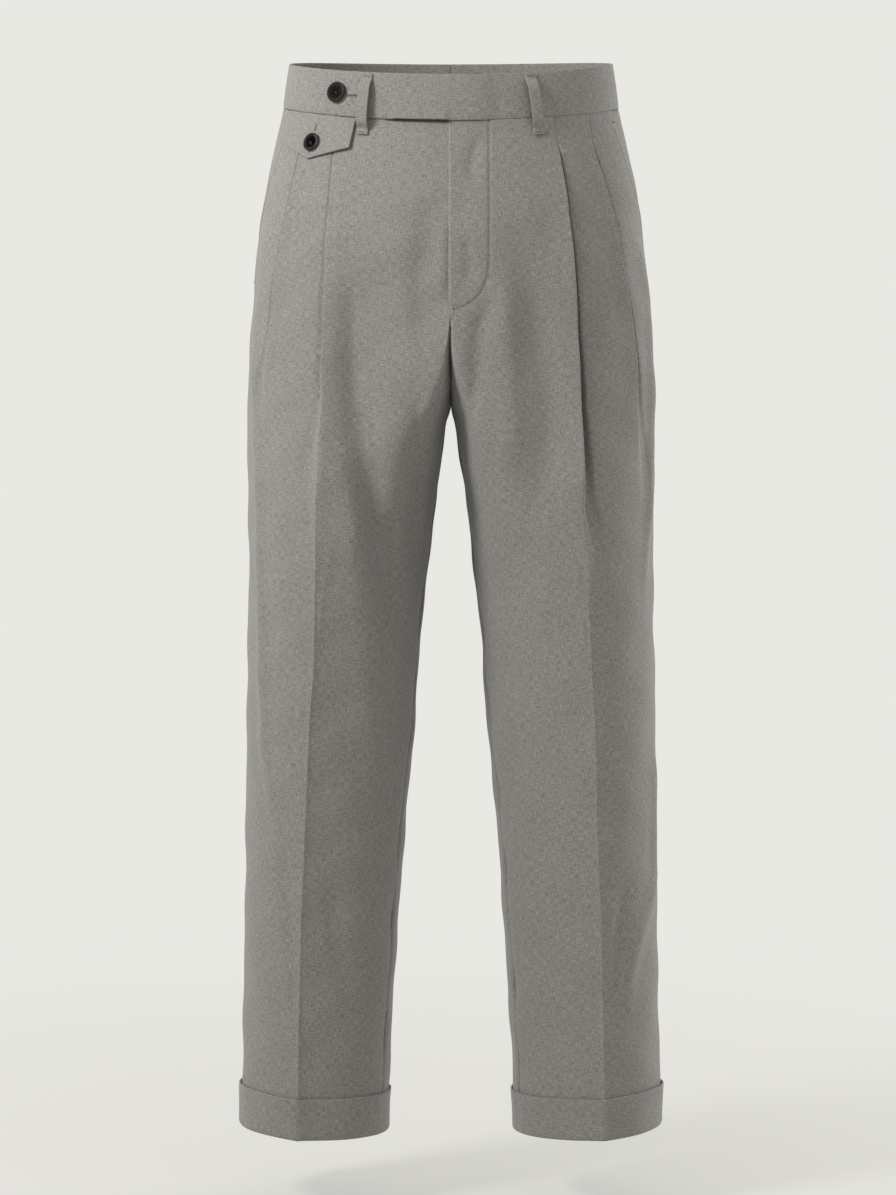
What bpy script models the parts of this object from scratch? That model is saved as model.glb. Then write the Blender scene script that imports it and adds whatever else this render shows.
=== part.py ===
"""Pleated dress trousers, filled out as worn: panels, waistband, pockets, loops, turn-ups.

The script works in millimetres and writes metres, +Z up. The origin is at the middle of the
waist, half way up the waistband. The front faces -Y and the wearer's left is at +X.

Every piece of cloth is placed by a level and an arc. A level is a height at the side of the
garment; the ring at that level is half of the garment's outline, seen from above. An arc is
the way along the ring from its front edge: the centre front above the crotch, the seat seam
at the crotch, and the inseam below it. A lift moves a point straight out of the ring.
"""
import math

import bmesh
import bpy
import numpy as np
from mathutils import Matrix, Vector

MM = 0.001

# Cloth
WALL = 1.1
SEAM_GAP = 0.3
PLY = WALL + 0.35
SIDES = {"left": 1, "right": -1}

# Waistband
BAND_TOP = 21.5
BAND_SEAM = -21.0
BAND_WALL = 2.0
BAND_CLEARANCE = 0.25
BAND_LIFT = (BAND_WALL - WALL) / 2
BAND_PLY = BAND_WALL + 2.5 * SEAM_GAP
TAB_REACH = 133.0
TAB_POINT = 23.0
TAB_RAMP_START = 22.0
TAB_RAMP = 26.0
BAND_UNDERLAP = 12.0

# Tilt of the levels: the waist drops to the front, and each hem drops to the inside.
WAIST_SLOPE = 0.2533
WAIST_DISH = 0.00046
WAIST_TILT_END = -200.0
HEM_SLOPE = 0.048
HEM_MIDDLE = 134.5
HEM_TILT_TOP = -315.0
HEM_TILT_BOTTOM = -600.0

# Legs
FLY_END = -238.0
CROTCH = -316.0
HEM = -1020.8
CREASE_WIDTH = 9.0
NORMAL_REACH = 1.5
QUARTER_STEPS = 60
CORNER_STEPS = 13
CREASE_TOP = -430.0
CREASE_JOIN = -545.0

# Turn-ups
CUFF_HEIGHT = 40.0
CUFF_WALL = 1.6
CUFF_FLARE = 0.7

# Slanted side pockets
FACING_END = -214.0
FACING_REACH = 6.0
FACING_DROP = PLY + 0.9
FACING_RISE = 28.0
FACING_COLUMNS = 6
FACING_ROWS = 9

# Belt loops
LOOP_WIDTH = 10.5
LOOP_WALL = 1.4
BELT_GAP = 5.6
LOOP_SLACK = 0.6
LOOP_STRAP_COLUMNS = 3
# Side view of a loop: level, what it lies on there, and its share of the way out to the gap.
LOOP_SHAPE = (
    (20.8, "band", 0.0),
    (15.8, "band", 0.02),
    (12.8, "band", 0.6),
    (7.8, "band", 1.0),
    (-13.0, "band", 1.0),
    (-24.0, "panel", 0.75),
    (-30.0, "panel", 0.12),
    (-32.0, "panel", 0.015),
    (-37.0, "panel", 0.0),
)

# Buttons
WAIST_BUTTON_RADIUS = 10.0
FLAP_BUTTON_RADIUS = 9.0
BUTTON_HOLE_RADIUS = 1.0
BUTTON_HOLE_REACH = 2.3
BUTTON_HOLE_DEPTH = 6.0
BUTTON_HOLE_STEPS = 8
BUTTON_STEPS = 24
BUTTON_SPAN = 4.0
# Turned outline from the middle of the face out over the rim and back under:
# share of the radius, and height in millimetres.
BUTTON_PROFILE = (
    (0.0, 2.2),
    (0.64, 2.2),
    (0.76, 2.8),
    (0.88, 3.3),
    (0.97, 3.0),
    (1.0, 2.0),
    (0.88, 0.9),
    (0.65, 0.0),
    (0.0, 0.0),
)

# Outline of one half at each level. side, inner: x of the outermost and the innermost point.
# front, back: y of the foremost and the rearmost point, and front_x, back_x: their x.
# power: 2 for an ellipse, less for a leg that is pressed to a crease.
RING_COLUMNS = ("level", "side", "inner", "front", "back", "front_x", "back_x", "power")
RINGS = (
    (22, 157.3, 0.7, -104.0, 104.0, 0, 0, 2.00),
    (-21, 163.9, 0.7, -107.5, 108.5, 0, 0, 2.00),
    (-63, 173.5, 0.7, -115.0, 124.0, 0, 0, 2.04),
    (-120, 185.0, 0.7, -123.0, 140.0, 0, 0, 2.08),
    (-190, 192.4, 0.7, -128.0, 150.0, 0, 0, 2.12),
    (-238, 195.4, 0.7, -127.5, 148.0, 0, 0, 2.14),
    (-265, 197.8, 0.7, -126.0, 144.5, 6, 9, 2.14),
    (-292, 199.2, 0.7, -123.5, 139.5, 17, 25, 2.13),
    (-316, 199.6, 1.1, -121.0, 132.5, 34, 44, 2.10),
    (-330, 199.6, 4.5, -119.5, 128.0, 45, 54, 2.08),
    (-350, 199.5, 7.1, -118.0, 122.0, 60, 66, 2.05),
    (-400, 199.0, 14.7, -113.0, 110.0, 92, 88, 2.00),
    (-466, 198.0, 22.1, -107.0, 101.0, 115, 104, 1.92),
    (-545, 199.0, 31.0, -99.0, 94.0, 126, 114, 1.84),
    (-604, 200.0, 34.4, -94.0, 90.0, 132.5, 119, 1.80),
    (-721, 201.0, 45.2, -86.0, 84.0, 138.2, 126, 1.76),
    (-839, 202.5, 53.6, -80.0, 79.0, 143, 131, 1.74),
    (-938, 204.0, 59.5, -76.5, 76.0, 145, 134, 1.74),
    (-1022, 206.0, 63.2, -75.0, 74.0, 146, 136, 1.74),
)

# Seat seam between the fly and the crotch: y of its front and of its back part.
EDGE_COLUMNS = ("level", "front", "back")
EDGES = (
    (-238, -127.5, 148.0),
    (-250, -122.0, 142.5),
    (-265, -111.0, 132.0),
    (-280, -94.0, 117.0),
    (-292, -72.0, 98.0),
    (-303, -42.0, 70.0),
    (-311, -8.0, 42.0),
    (-316, 15.0, 15.0),
)

# Inseam, down from the crotch
INSEAM_COLUMNS = ("level", "y")
INSEAM = (
    (-316, 15.0),
    (-345, 8.0),
    (-450, -8.0),
    (-600, -20.0),
    (-700, -26.0),
    (-1022, -28.0),
)

# y of the outermost and innermost points, and height of the pressed creases.
BODY_COLUMNS = ("level", "side_y", "inner_y", "front_crease", "back_crease")
BODIES = (
    (22, 0, 15, 0, 0),
    (-190, 6, 15, 0, 0),
    (-330, 4, 15, 0, 0),
    (-420, 2, 8, 1.2, 0.8),
    (-545, 0, 3, 2.4, 2.0),
    (-721, 0, 0, 3.2, 3.0),
    (-1022, 0, 0, 3.6, 3.4),
)

# Centre front: arc at which each front begins, and how far the right front lies behind.
FLY_COLUMNS = ("level", "left_edge", "right_edge", "right_drop")
FLY = (
    (22, -2.5, -12.0, PLY),
    (-212, -2.5, -12.0, PLY),
    (-226, -2.5, -5.0, PLY),
    (-238, 0.15, 0.15, PLY),
    (-250, 0.15, 0.15, 0),
    (-1022, 0.15, 0.15, 0),
)
FLY_DROP_FLAT = 4.5
FLY_DROP_RAMP = 20.0

# Set-back of each front's side edge from the side seam: the slanted pocket mouth.
POCKET_COLUMNS = ("level", "set_back")
POCKET = (
    (22, 35.5),
    (-34, 35.5),
    (-74, 29.5),
    (-113, 21.5),
    (-145, 13.0),
    (-175, 5.5),
    (-206, 0),
    (-1022, 0),
)

# Pleats. edge_x: x of the fold, which points to the side and goes on down as the crease.
# tuck: how far the cloth runs back under the fold; less than 0 where it has opened out.
# lift: how far the fold stands out. sink: how far the cloth beside it lies behind.
PLEAT_COLUMNS = ("level", "edge_x", "tuck", "lift", "sink")
PLEATS = {
    ("left", 1): (
        (-21, 96.7, 9, 0.5, 2.4),
        (-51, 101.2, 9, 0.9, 2.8),
        (-92, 107.6, 9, 2.4, 5.4),
        (-147, 113.0, 8, 3.6, 8.0),
        (-215, 118.1, 7, 4.0, 8.0),
        (-290, 121.2, 5, 3.6, 5.6),
        (-345, 123.0, 0, 2.6, 3.0),
        (-400, 125.6, -12, 1.0, 1.0),
        (-466, 128.0, -12, 0.3, 0),
        (-545, 130.2, -12, 0, 0),
    ),
    ("left", 2): (
        (-21, 130.5, 8, 0.5, 2.4),
        (-55, 135.6, 8, 0.9, 2.8),
        (-85, 143.2, 8, 2.0, 4.6),
        (-118, 150.8, 7, 2.6, 5.6),
        (-193, 163.4, 7, 3.0, 5.6),
        (-252, 173.4, 6, 2.6, 4.4),
        (-288, 177.4, 4, 2.0, 3.0),
        (-331, 179.4, 0, 1.4, 1.6),
        (-390, 181.0, -10, 0.4, 0.4),
        (-466, 180.0, -10, 0, 0),
        (-1022, 183.0, -10, 0, 0),
    ),
    ("right", 1): (
        (-21, 107.5, 9, 0.5, 2.4),
        (-80, 112.4, 9, 0.7, 2.6),
        (-118, 114.4, 8, 1.6, 2.4),
        (-178, 118.0, 7, 1.8, 2.6),
        (-250, 120.0, 5, 1.7, 2.4),
        (-320, 121.5, 0, 1.6, 1.6),
        (-379, 123.0, -12, 0.6, 0.6),
        (-466, 127.5, -12, 0, 0),
        (-545, 130.2, -12, 0, 0),
    ),
    ("right", 2): (
        (-21, 139.5, 8, 0.5, 2.4),
        (-80, 147.5, 8, 0.7, 2.6),
        (-126, 155.5, 8, 1.6, 2.4),
        (-186, 165.6, 6, 1.8, 2.4),
        (-241, 173.2, 4, 1.6, 1.8),
        (-299, 179.6, -6, 1.0, 1.0),
        (-360, 181.0, -10, 0.4, 0.4),
        (-466, 180.0, -10, 0, 0),
        (-1022, 183.0, -10, 0, 0),
    ),
}
PLEAT_RAMP = 26.0
PLEAT_SETTLE = 16.0
FULL_TUCK = 3.0
FOLD_SHOULDER = 4.0
FOLD_BEYOND = 3.0
OPEN_SHOULDER = 0.35

# Coin pocket flap, hanging from the waistband seam of the wearer's right front.
# across: share of its width. drop: how far its lower edge hangs below the seam.
FLAP_COLUMNS = ("across", "top_arc", "bottom_arc", "drop")
FLAP = (
    (0.0, 91.5, 97.3, 29.0),
    (0.56, 145.0, 145.0, 44.5),
    (1.0, 187.4, 192.6, 26.0),
)
FLAP_LIFT = 2.4
FLAP_GRID = (9, 4)

# Belt loops: name, side, arc of the middle at the top and at the bottom, and plies beneath.
LOOPS = (
    ("belt_loop_front_right", -1, 79.0, 85.0, 1),
    ("belt_loop_front_left", 1, 75.0, 84.0, 0),
    ("belt_loop_back_right", -1, 295.0, 300.0, 0),
    ("belt_loop_back_left", 1, 295.0, 300.0, 0),
)

# Levels of the grid's rows
FRONT_LEVELS = (
    -21.5, -34, -50, -66, -90, -118, -148, -178, -206, -226, -238, -250, -265, -280, -292,
    -303, -311, -316, -330, -352, -385, -425, -475, -540, -610, -690, -775, -860, -940, -1018,
)
BACK_LEVELS = (
    -21.5, -45, -75, -110, -150, -195, -238, -250, -265, -280, -292, -303, -311, -316, -330,
    -352, -385, -425, -475, -540, -610, -690, -775, -860, -940, -1018,
)
BAND_ROWS = 3
BAND_FRONT_COLUMNS = 13
BAND_BACK_COLUMNS = 14
TAB_POINT_COLUMNS = 3
SIDE_COLUMNS = 11
SEAT_COLUMNS = 4
SEAT_REACH = 18.0

CLOTH_COLOUR = (0.262, 0.252, 0.235)
INSIDE_COLOUR = (0.21, 0.20, 0.19)
BUTTON_COLOUR = (0.012, 0.011, 0.010)


def named_columns(columns, rows):
    """The table as a dict of arrays, with its rows in the order of rising level."""
    data = np.array(sorted(rows), dtype=float)
    return dict(zip(columns, data.T))


RING_TABLE = named_columns(RING_COLUMNS, RINGS)
EDGE_TABLE = named_columns(EDGE_COLUMNS, EDGES)
INSEAM_TABLE = named_columns(INSEAM_COLUMNS, INSEAM)
BODY_TABLE = named_columns(BODY_COLUMNS, BODIES)
FLY_TABLE = named_columns(FLY_COLUMNS, FLY)
POCKET_TABLE = named_columns(POCKET_COLUMNS, POCKET)
FLAP_TABLE = named_columns(FLAP_COLUMNS, FLAP)
PLEAT_TABLES = {key: named_columns(PLEAT_COLUMNS, rows) for key, rows in PLEATS.items()}


def linear(table, column, level):
    """Straight-line reading of one column at a level."""
    return float(np.interp(level, table["level"], table[column]))


def curved(table, column, level):
    """Reading of one column at a level on a cubic that keeps each stretch monotone."""
    xs = table["level"]
    ys = table[column]
    step = np.diff(xs)
    chord = np.diff(ys) / step
    slope = np.concatenate(([chord[0]], np.zeros(len(xs) - 2), [chord[-1]]))
    for k in range(1, len(xs) - 1):
        if chord[k - 1] * chord[k] > 0:
            before = 2 * step[k] + step[k - 1]
            after = step[k] + 2 * step[k - 1]
            slope[k] = (before + after) / (before / chord[k - 1] + after / chord[k])
    level = min(max(level, xs[0]), xs[-1])
    k = min(int(np.searchsorted(xs, level, side="right")) - 1, len(xs) - 2)
    t = (level - xs[k]) / step[k]
    bend = (slope[k] * (1 - t) - slope[k + 1] * t) * step[k] + (ys[k + 1] - ys[k]) * (2 * t - 1)
    return float(ys[k] * (1 - t) + ys[k + 1] * t + t * (1 - t) * bend)


def ease(share):
    """0 to 1 with flat ends."""
    share = min(max(share, 0.0), 1.0)
    return share * share * (3 - 2 * share)


def mix(start, end, share):
    return start + (end - start) * share


class Ring:
    """Half of the garment's outline at one level."""

    def __init__(self, level):
        row = {name: curved(RING_TABLE, name, level) for name in RING_COLUMNS[1:]}
        body = {name: curved(BODY_TABLE, name, level) for name in BODY_COLUMNS[1:]}
        angle = np.linspace(0, math.pi / 2, QUARTER_STEPS + 1)
        out = np.sin(angle) ** (2 / row["power"])
        back = np.cos(angle) ** (2 / row["power"])
        front_x = row["front_x"] + (row["side"] - row["front_x"]) * out
        front_y = body["side_y"] - (body["side_y"] - row["front"]) * back
        rear_x = row["back_x"] + (row["side"] - row["back_x"]) * back
        rear_y = body["side_y"] + (row["back"] - body["side_y"]) * out
        if level > FLY_END:
            inner_x = -front_x[::-1]
            inner_y = front_y[::-1]
            seat_x = -rear_x[::-1]
            seat_y = rear_y[::-1]
        else:
            if level > CROTCH:
                front_edge = fore_y = curved(EDGE_TABLE, "front", level)
                back_edge = aft_y = curved(EDGE_TABLE, "back", level)
            else:
                front_edge = back_edge = curved(INSEAM_TABLE, "y", level)
                fore_y = aft_y = body["inner_y"]
            inner_x = row["front_x"] - (row["front_x"] - row["inner"]) * np.cos(angle)
            inner_y = fore_y - (fore_y - row["front"]) * np.sin(angle)
            seat_x = row["back_x"] - (row["back_x"] - row["inner"]) * np.sin(angle)
            seat_y = aft_y + (row["back"] - aft_y) * np.cos(angle)
        xs = np.concatenate((inner_x, front_x[1:], rear_x[1:], seat_x[1:], inner_x[1:]))
        ys = np.concatenate((inner_y, front_y[1:], rear_y[1:], seat_y[1:], inner_y[1:]))
        travel = np.concatenate(([0], np.cumsum(np.hypot(np.diff(xs), np.diff(ys)))))
        crown, side, rear = QUARTER_STEPS, 2 * QUARTER_STEPS, 3 * QUARTER_STEPS
        start = travel[crown]
        stop = travel[rear]
        if level <= FLY_END:
            start = np.interp(-front_edge, -ys[:crown + 1], travel[:crown + 1])
            stop = np.interp(-back_edge, -ys[rear:], travel[rear:])
        self.xs = xs
        self.ys = ys
        self.travel = travel - start
        self.length = stop - start
        self.crown = self.travel[crown]
        self.side = self.travel[side]
        self.rear = self.travel[rear]
        self.front_corner = self.travel[crown - CORNER_STEPS]
        self.back_corner = self.travel[rear + CORNER_STEPS]
        self.creases = ((self.crown, body["front_crease"]), (self.rear, body["back_crease"]))

    def arc_of_x(self, x):
        """Arc of the point of the front that has this x."""
        front = slice(QUARTER_STEPS, 2 * QUARTER_STEPS + 1)
        return float(np.interp(x, self.xs[front], self.travel[front]))

    def at(self, arc, lift=0.0):
        """x and y at an arc, moved out by the lift. An arc under 0 runs past the centre."""
        places = np.array((arc - NORMAL_REACH, arc, arc + NORMAL_REACH))
        x = np.interp(places, self.travel, self.xs)
        y = np.interp(places, self.travel, self.ys)
        run = x[2] - x[0]
        rise = y[2] - y[0]
        size = math.hypot(run, rise)
        for place, height in self.creases:
            lift += height * math.exp(-abs(arc - place) / CREASE_WIDTH)
        return x[1] + lift * rise / size, y[1] - lift * run / size


RING_STORE = {}


def ring(level):
    if level not in RING_STORE:
        RING_STORE[level] = Ring(level)
    return RING_STORE[level]


def height(level, x, y):
    """z of a point of the ring: the waist's and the hem's tilt fade out between them."""
    waist = ease((level - WAIST_TILT_END) / (BAND_SEAM - WAIST_TILT_END))
    leg = ease((level - HEM_TILT_TOP) / (HEM_TILT_BOTTOM - HEM_TILT_TOP))
    return level + waist * (WAIST_SLOPE * y - WAIST_DISH * y * y) + leg * HEM_SLOPE * (x - HEM_MIDDLE)


def cloth_point(side, level, arc, lift=0.0):
    """Point of the garment in metres. side is 1 for the wearer's left and -1 for the right."""
    x, y = ring(level).at(arc, lift)
    return Vector((side * x, y, height(level, x, y))) * MM


def fold_arc(side_name, number, level):
    """Arc of a pleat's fold. The first pleat runs on down into the pressed crease."""
    found = ring(level).arc_of_x(curved(PLEAT_TABLES[side_name, number], "edge_x", level))
    if number == 2:
        return found
    return mix(found, ring(level).crown, ease((CREASE_TOP - level) / (CREASE_TOP - CREASE_JOIN)))


def pleat_stations(side_name, number, level, low, high):
    """Eight (arc, lift) stations over one pleat, kept between the arcs low and high."""
    table = PLEAT_TABLES[side_name, number]
    edge = fold_arc(side_name, number, level)
    tuck = curved(table, "tuck", level)
    lift = curved(table, "lift", level)
    sink = curved(table, "sink", level)
    under = max(tuck, 0.0)
    spread = max(-tuck, 0.0)
    folded = min(under / FULL_TUCK, 1.0)
    ply = mix((lift + sink) / 3, PLY, folded)
    shoulder = edge - under - FOLD_SHOULDER - spread / 2
    beyond = edge + FOLD_BEYOND + spread
    return [
        (max(edge - PLEAT_RAMP, mix(low, shoulder, 0.5)), 0.0),
        (shoulder, lift * mix(OPEN_SHOULDER, 1.0, folded)),
        (edge, lift),
        (edge + spread / 3, lift - ply),
        (edge - under + spread * 2 / 3, ply - sink),
        (edge - under + spread, -sink),
        (beyond, -sink),
        (min(beyond + PLEAT_SETTLE, mix(beyond, high, 0.5)), 0.0),
    ]


def even(start, stop, count):
    """Stations without lift, spread evenly after start and before stop."""
    return [(mix(start, stop, (k + 1) / (count + 1)), 0.0) for k in range(count)]


def front_stations(side_name, level):
    """(arc, lift) of each column of a front, from its inner edge to its side edge."""
    current = ring(level)
    edge = linear(FLY_TABLE, side_name + "_edge", level)
    corner = max(current.front_corner, FLY_DROP_FLAT)
    stop = current.side - curved(POCKET_TABLE, "set_back", level) - SEAM_GAP / 2
    folds = [fold_arc(side_name, number, level) for number in (1, 2)]
    between = mix(folds[0], folds[1], 0.5)
    first = pleat_stations(side_name, 1, level, corner, between)
    second = pleat_stations(side_name, 2, level, between, stop)
    stations = [(edge, 0.0)]
    stations += even(edge, corner, 3)
    stations += [(corner, 0.0)]
    ramp_end = mix(corner, first[0][0], 0.3)
    stations += [(ramp_end, 0.0)]
    stations += even(ramp_end, first[0][0], 2)
    stations += first
    stations += even(first[-1][0], second[0][0], 1)
    stations += second
    stations += even(second[-1][0], stop, 1)
    stations += [(stop, 0.0)]
    if side_name == "right":
        drop = linear(FLY_TABLE, "right_drop", level)
        stations = [(arc, lift - drop * behind_fly(arc)) for arc, lift in stations]
    return stations


def behind_fly(arc):
    """Share of the drop that the right front has where the left front lies over it."""
    return 1 - ease((arc - FLY_DROP_FLAT) / FLY_DROP_RAMP)


def new_grid(columns, rows, place):
    """Open sheet of columns by rows whose vertices go where place(column, row) says."""
    mesh = bmesh.new()
    bmesh.ops.create_grid(mesh, x_segments=columns - 1, y_segments=rows - 1, size=1)
    for vert in mesh.verts:
        column = round((vert.co.x + 1) / 2 * (columns - 1))
        row = round((vert.co.y + 1) / 2 * (rows - 1))
        vert.co = place(column, row)
    return mesh


def add_object(name, mesh, material):
    """Object in the garment's collection, made from a bmesh."""
    data = bpy.data.meshes.new(name)
    mesh.to_mesh(data)
    mesh.free()
    data.materials.append(material)
    data.shade_smooth()
    data.set_sharp_from_angle(angle=math.radians(50))
    piece = bpy.data.objects.new(name, data)
    GARMENT.objects.link(piece)
    return piece


def thicken(piece, wall):
    """Turn a sheet into a closed wall, half of it on each side of the sheet."""
    modifier = piece.modifiers.new("Wall", "SOLIDIFY")
    modifier.thickness = wall * MM
    modifier.offset = 0
    modifier.use_even_offset = True
    modifier.use_quality_normals = True


def principled(name, colour, roughness):
    material = bpy.data.materials.new(name)
    material.use_nodes = True
    shader = material.node_tree.nodes["Principled BSDF"]
    shader.inputs["Base Color"].default_value = (*colour, 1)
    shader.inputs["Roughness"].default_value = roughness
    shader.inputs["Metallic"].default_value = 0
    return material


def make_front(side_name, cloth):
    """Front panel from the waist seam to the hem, with its two pleats laid as folds."""
    side = SIDES[side_name]
    rows = [front_stations(side_name, level) for level in FRONT_LEVELS]

    def place(column, row):
        arc, lift = rows[row][column]
        return cloth_point(side, FRONT_LEVELS[row], arc, lift)

    sheet = new_grid(len(rows[0]), len(rows), place)
    thicken(add_object("front_" + side_name, sheet, cloth), WALL)


def back_arcs(level):
    """Arc of each column of a back, from the side seam to the seat seam or the inseam."""
    current = ring(level)
    start = current.side + SEAM_GAP / 2
    stop = current.length - SEAM_GAP / 2
    corner = min(current.back_corner, stop - SEAT_REACH)
    arcs = [mix(start, corner, k / SIDE_COLUMNS) for k in range(SIDE_COLUMNS)]
    arcs += [mix(corner, stop, k / SEAT_COLUMNS) for k in range(SEAT_COLUMNS + 1)]
    return arcs


def make_back(side_name, cloth):
    """Back panel from the waist seam to the hem, between the side seam and the seat seam."""
    side = SIDES[side_name]

    def place(column, row):
        level = BACK_LEVELS[row]
        return cloth_point(side, level, back_arcs(level)[column])

    sheet = new_grid(len(back_arcs(HEM)), len(BACK_LEVELS), place)
    thicken(add_object("back_" + side_name, sheet, cloth), WALL)


def make_facing(side_name, cloth):
    """Cloth that shows in the slanted pocket mouth, behind the front and up to the side seam."""
    side = SIDES[side_name]
    levels = np.linspace(FRONT_LEVELS[0], FACING_END, FACING_ROWS)

    def place(column, row):
        level = float(levels[row])
        current = ring(level)
        mouth = current.side - curved(POCKET_TABLE, "set_back", level)
        share = column / (FACING_COLUMNS - 1)
        arc = mix(mouth - FACING_REACH, current.side - SEAM_GAP / 2, share)
        rise = min(max((arc - mouth - FACING_REACH) / FACING_RISE, 0.0), 1.0)
        return cloth_point(side, level, arc, -FACING_DROP * (1 - rise))

    sheet = new_grid(FACING_COLUMNS, FACING_ROWS, place)
    thicken(add_object("pocket_facing_" + side_name, sheet, cloth), WALL)


def band_stations(level):
    """Arcs of a band's columns: close together along the tab's reach, wider to the back."""
    stop = ring(level).length - SEAM_GAP / 2
    front = [mix(0, TAB_REACH, k / BAND_FRONT_COLUMNS) for k in range(BAND_FRONT_COLUMNS)]
    back = [mix(TAB_REACH, stop, k / BAND_BACK_COLUMNS) for k in range(BAND_BACK_COLUMNS + 1)]
    return front + back


def tab_stations(tip):
    """Arcs of the tab's columns from its tip to the centre front, over those of the band below."""
    step = TAB_REACH / BAND_FRONT_COLUMNS
    straight = BAND_FRONT_COLUMNS - TAB_POINT_COLUMNS
    point = [mix(tip, -straight * step, k / TAB_POINT_COLUMNS) for k in range(TAB_POINT_COLUMNS)]
    return point + [(k - straight) * step for k in range(straight)]


def make_band_left(cloth):
    """Half of the waistband from the centre back to the front, running on as a pointed tab."""
    levels = np.linspace(BAND_SEAM + BAND_CLEARANCE, BAND_TOP, BAND_ROWS)

    def place(column, row):
        level = float(levels[row])
        point = TAB_POINT * abs(2 * row / (BAND_ROWS - 1) - 1)
        arc = (tab_stations(point - TAB_REACH) + band_stations(level))[column]
        over = 1 - ease((arc - TAB_RAMP_START) / TAB_RAMP)
        return cloth_point(1, level, arc, BAND_LIFT + BAND_PLY * over)

    sheet = new_grid(2 * BAND_FRONT_COLUMNS + BAND_BACK_COLUMNS + 1, BAND_ROWS, place)
    thicken(add_object("waistband_left", sheet, cloth), BAND_WALL)


def make_band_right(cloth):
    """Half of the waistband from the centre back to just past the centre front."""
    levels = np.linspace(BAND_SEAM + BAND_CLEARANCE, BAND_TOP, BAND_ROWS)

    def place(column, row):
        level = float(levels[row])
        arc = ([-BAND_UNDERLAP] + band_stations(level))[column]
        return cloth_point(-1, level, arc, BAND_LIFT)

    sheet = new_grid(BAND_FRONT_COLUMNS + BAND_BACK_COLUMNS + 2, BAND_ROWS, place)
    thicken(add_object("waistband_right", sheet, cloth), BAND_WALL)


def make_cuff(side_name, cloth):
    """Turn-up: a band round the leg, turned in under the leg's lower edge."""
    side = SIDES[side_name]
    lift = WALL / 2 + SEAM_GAP + CUFF_WALL / 2
    rows = (
        (HEM + CUFF_HEIGHT, lift + CUFF_FLARE),
        (HEM + CUFF_HEIGHT / 2, lift),
        (HEM + CUFF_WALL / 2, lift),
        (HEM + CUFF_WALL / 2, -lift),
    )

    def place(column, row):
        level, out = rows[row]
        arcs = [arc for arc, _ in front_stations(side_name, level)] + back_arcs(level)
        return cloth_point(side, level, arcs[column % len(arcs)], out)

    columns = len(front_stations(side_name, HEM)) + len(back_arcs(HEM)) + 1
    sheet = new_grid(columns, len(rows), place)
    bmesh.ops.remove_doubles(sheet, verts=sheet.verts, dist=0.01 * MM)
    thicken(add_object("cuff_" + side_name, sheet, cloth), CUFF_WALL)


def make_flap(cloth):
    """Five-sided flap of the coin pocket, lying on the right front under the waistband."""
    columns, rows = FLAP_GRID
    knots = FLAP_TABLE["across"]

    def place(column, row):
        across = column / (columns - 1)
        down = row / (rows - 1)
        top, bottom, drop = (
            float(np.interp(across, knots, FLAP_TABLE[name])) for name in FLAP_COLUMNS[1:]
        )
        level = BAND_SEAM - SEAM_GAP - WALL / 2 - drop * down
        return cloth_point(-1, level, mix(top, bottom, down), FLAP_LIFT)

    sheet = new_grid(columns, rows, place)
    thicken(add_object("coin_pocket_flap", sheet, cloth), WALL)


def loop_profile(plies):
    """(level, lift) of the middle of a belt loop's strap, from its top end to its bottom end."""
    on_band = BAND_LIFT + BAND_WALL / 2 + plies * BAND_PLY + SEAM_GAP + LOOP_WALL / 2
    on_panel = WALL / 2 + SEAM_GAP + LOOP_WALL / 2 + LOOP_SLACK
    seats = {"band": on_band, "panel": on_panel}
    return [(level, mix(seats[seat], on_band + BELT_GAP, out)) for level, seat, out in LOOP_SHAPE]


def make_loop(name, side, arcs, plies, cloth):
    """Belt loop: a strap stitched down at both ends, with room for a belt behind it."""
    profile = loop_profile(plies)
    top = profile[0][0]
    bottom = profile[-1][0]

    def place(column, row):
        level, lift = profile[row]
        across = column / (LOOP_STRAP_COLUMNS - 1) - 0.5
        arc = mix(arcs[0], arcs[1], (top - level) / (top - bottom)) + LOOP_WIDTH * across
        return cloth_point(side, level, arc, lift)

    strap = new_grid(LOOP_STRAP_COLUMNS, len(profile), place)
    thicken(add_object(name, strap, cloth), LOOP_WALL)


def make_back_loop(cloth):
    """Belt loop over the seam at the centre back."""
    profile = loop_profile(0)

    def place(column, row):
        level, lift = profile[row]
        across = LOOP_WIDTH * (column / (LOOP_STRAP_COLUMNS - 1) - 0.5)
        point = cloth_point(1, level, ring(level).length, lift)
        return Vector((across * MM, point.y, point.z))

    strap = new_grid(LOOP_STRAP_COLUMNS, len(profile), place)
    thicken(add_object("belt_loop_centre_back", strap, cloth), LOOP_WALL)


def button_seat(side, level, arc, lift):
    """Place and turn of a button that lies on the cloth."""
    middle = cloth_point(side, level, arc, lift)
    near = cloth_point(side, level, arc - BUTTON_SPAN, lift)
    far = cloth_point(side, level, arc + BUTTON_SPAN, lift)
    low = cloth_point(side, level - BUTTON_SPAN, arc, lift)
    up = cloth_point(side, level + BUTTON_SPAN, arc, lift) - low
    out = (far - near).cross(up).normalized()
    if out.y > 0:
        out.negate()
    across = up.cross(out).normalized()
    turn = Matrix((across, out.cross(across), out)).transposed().to_4x4()
    turn.translation = middle
    return turn


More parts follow.
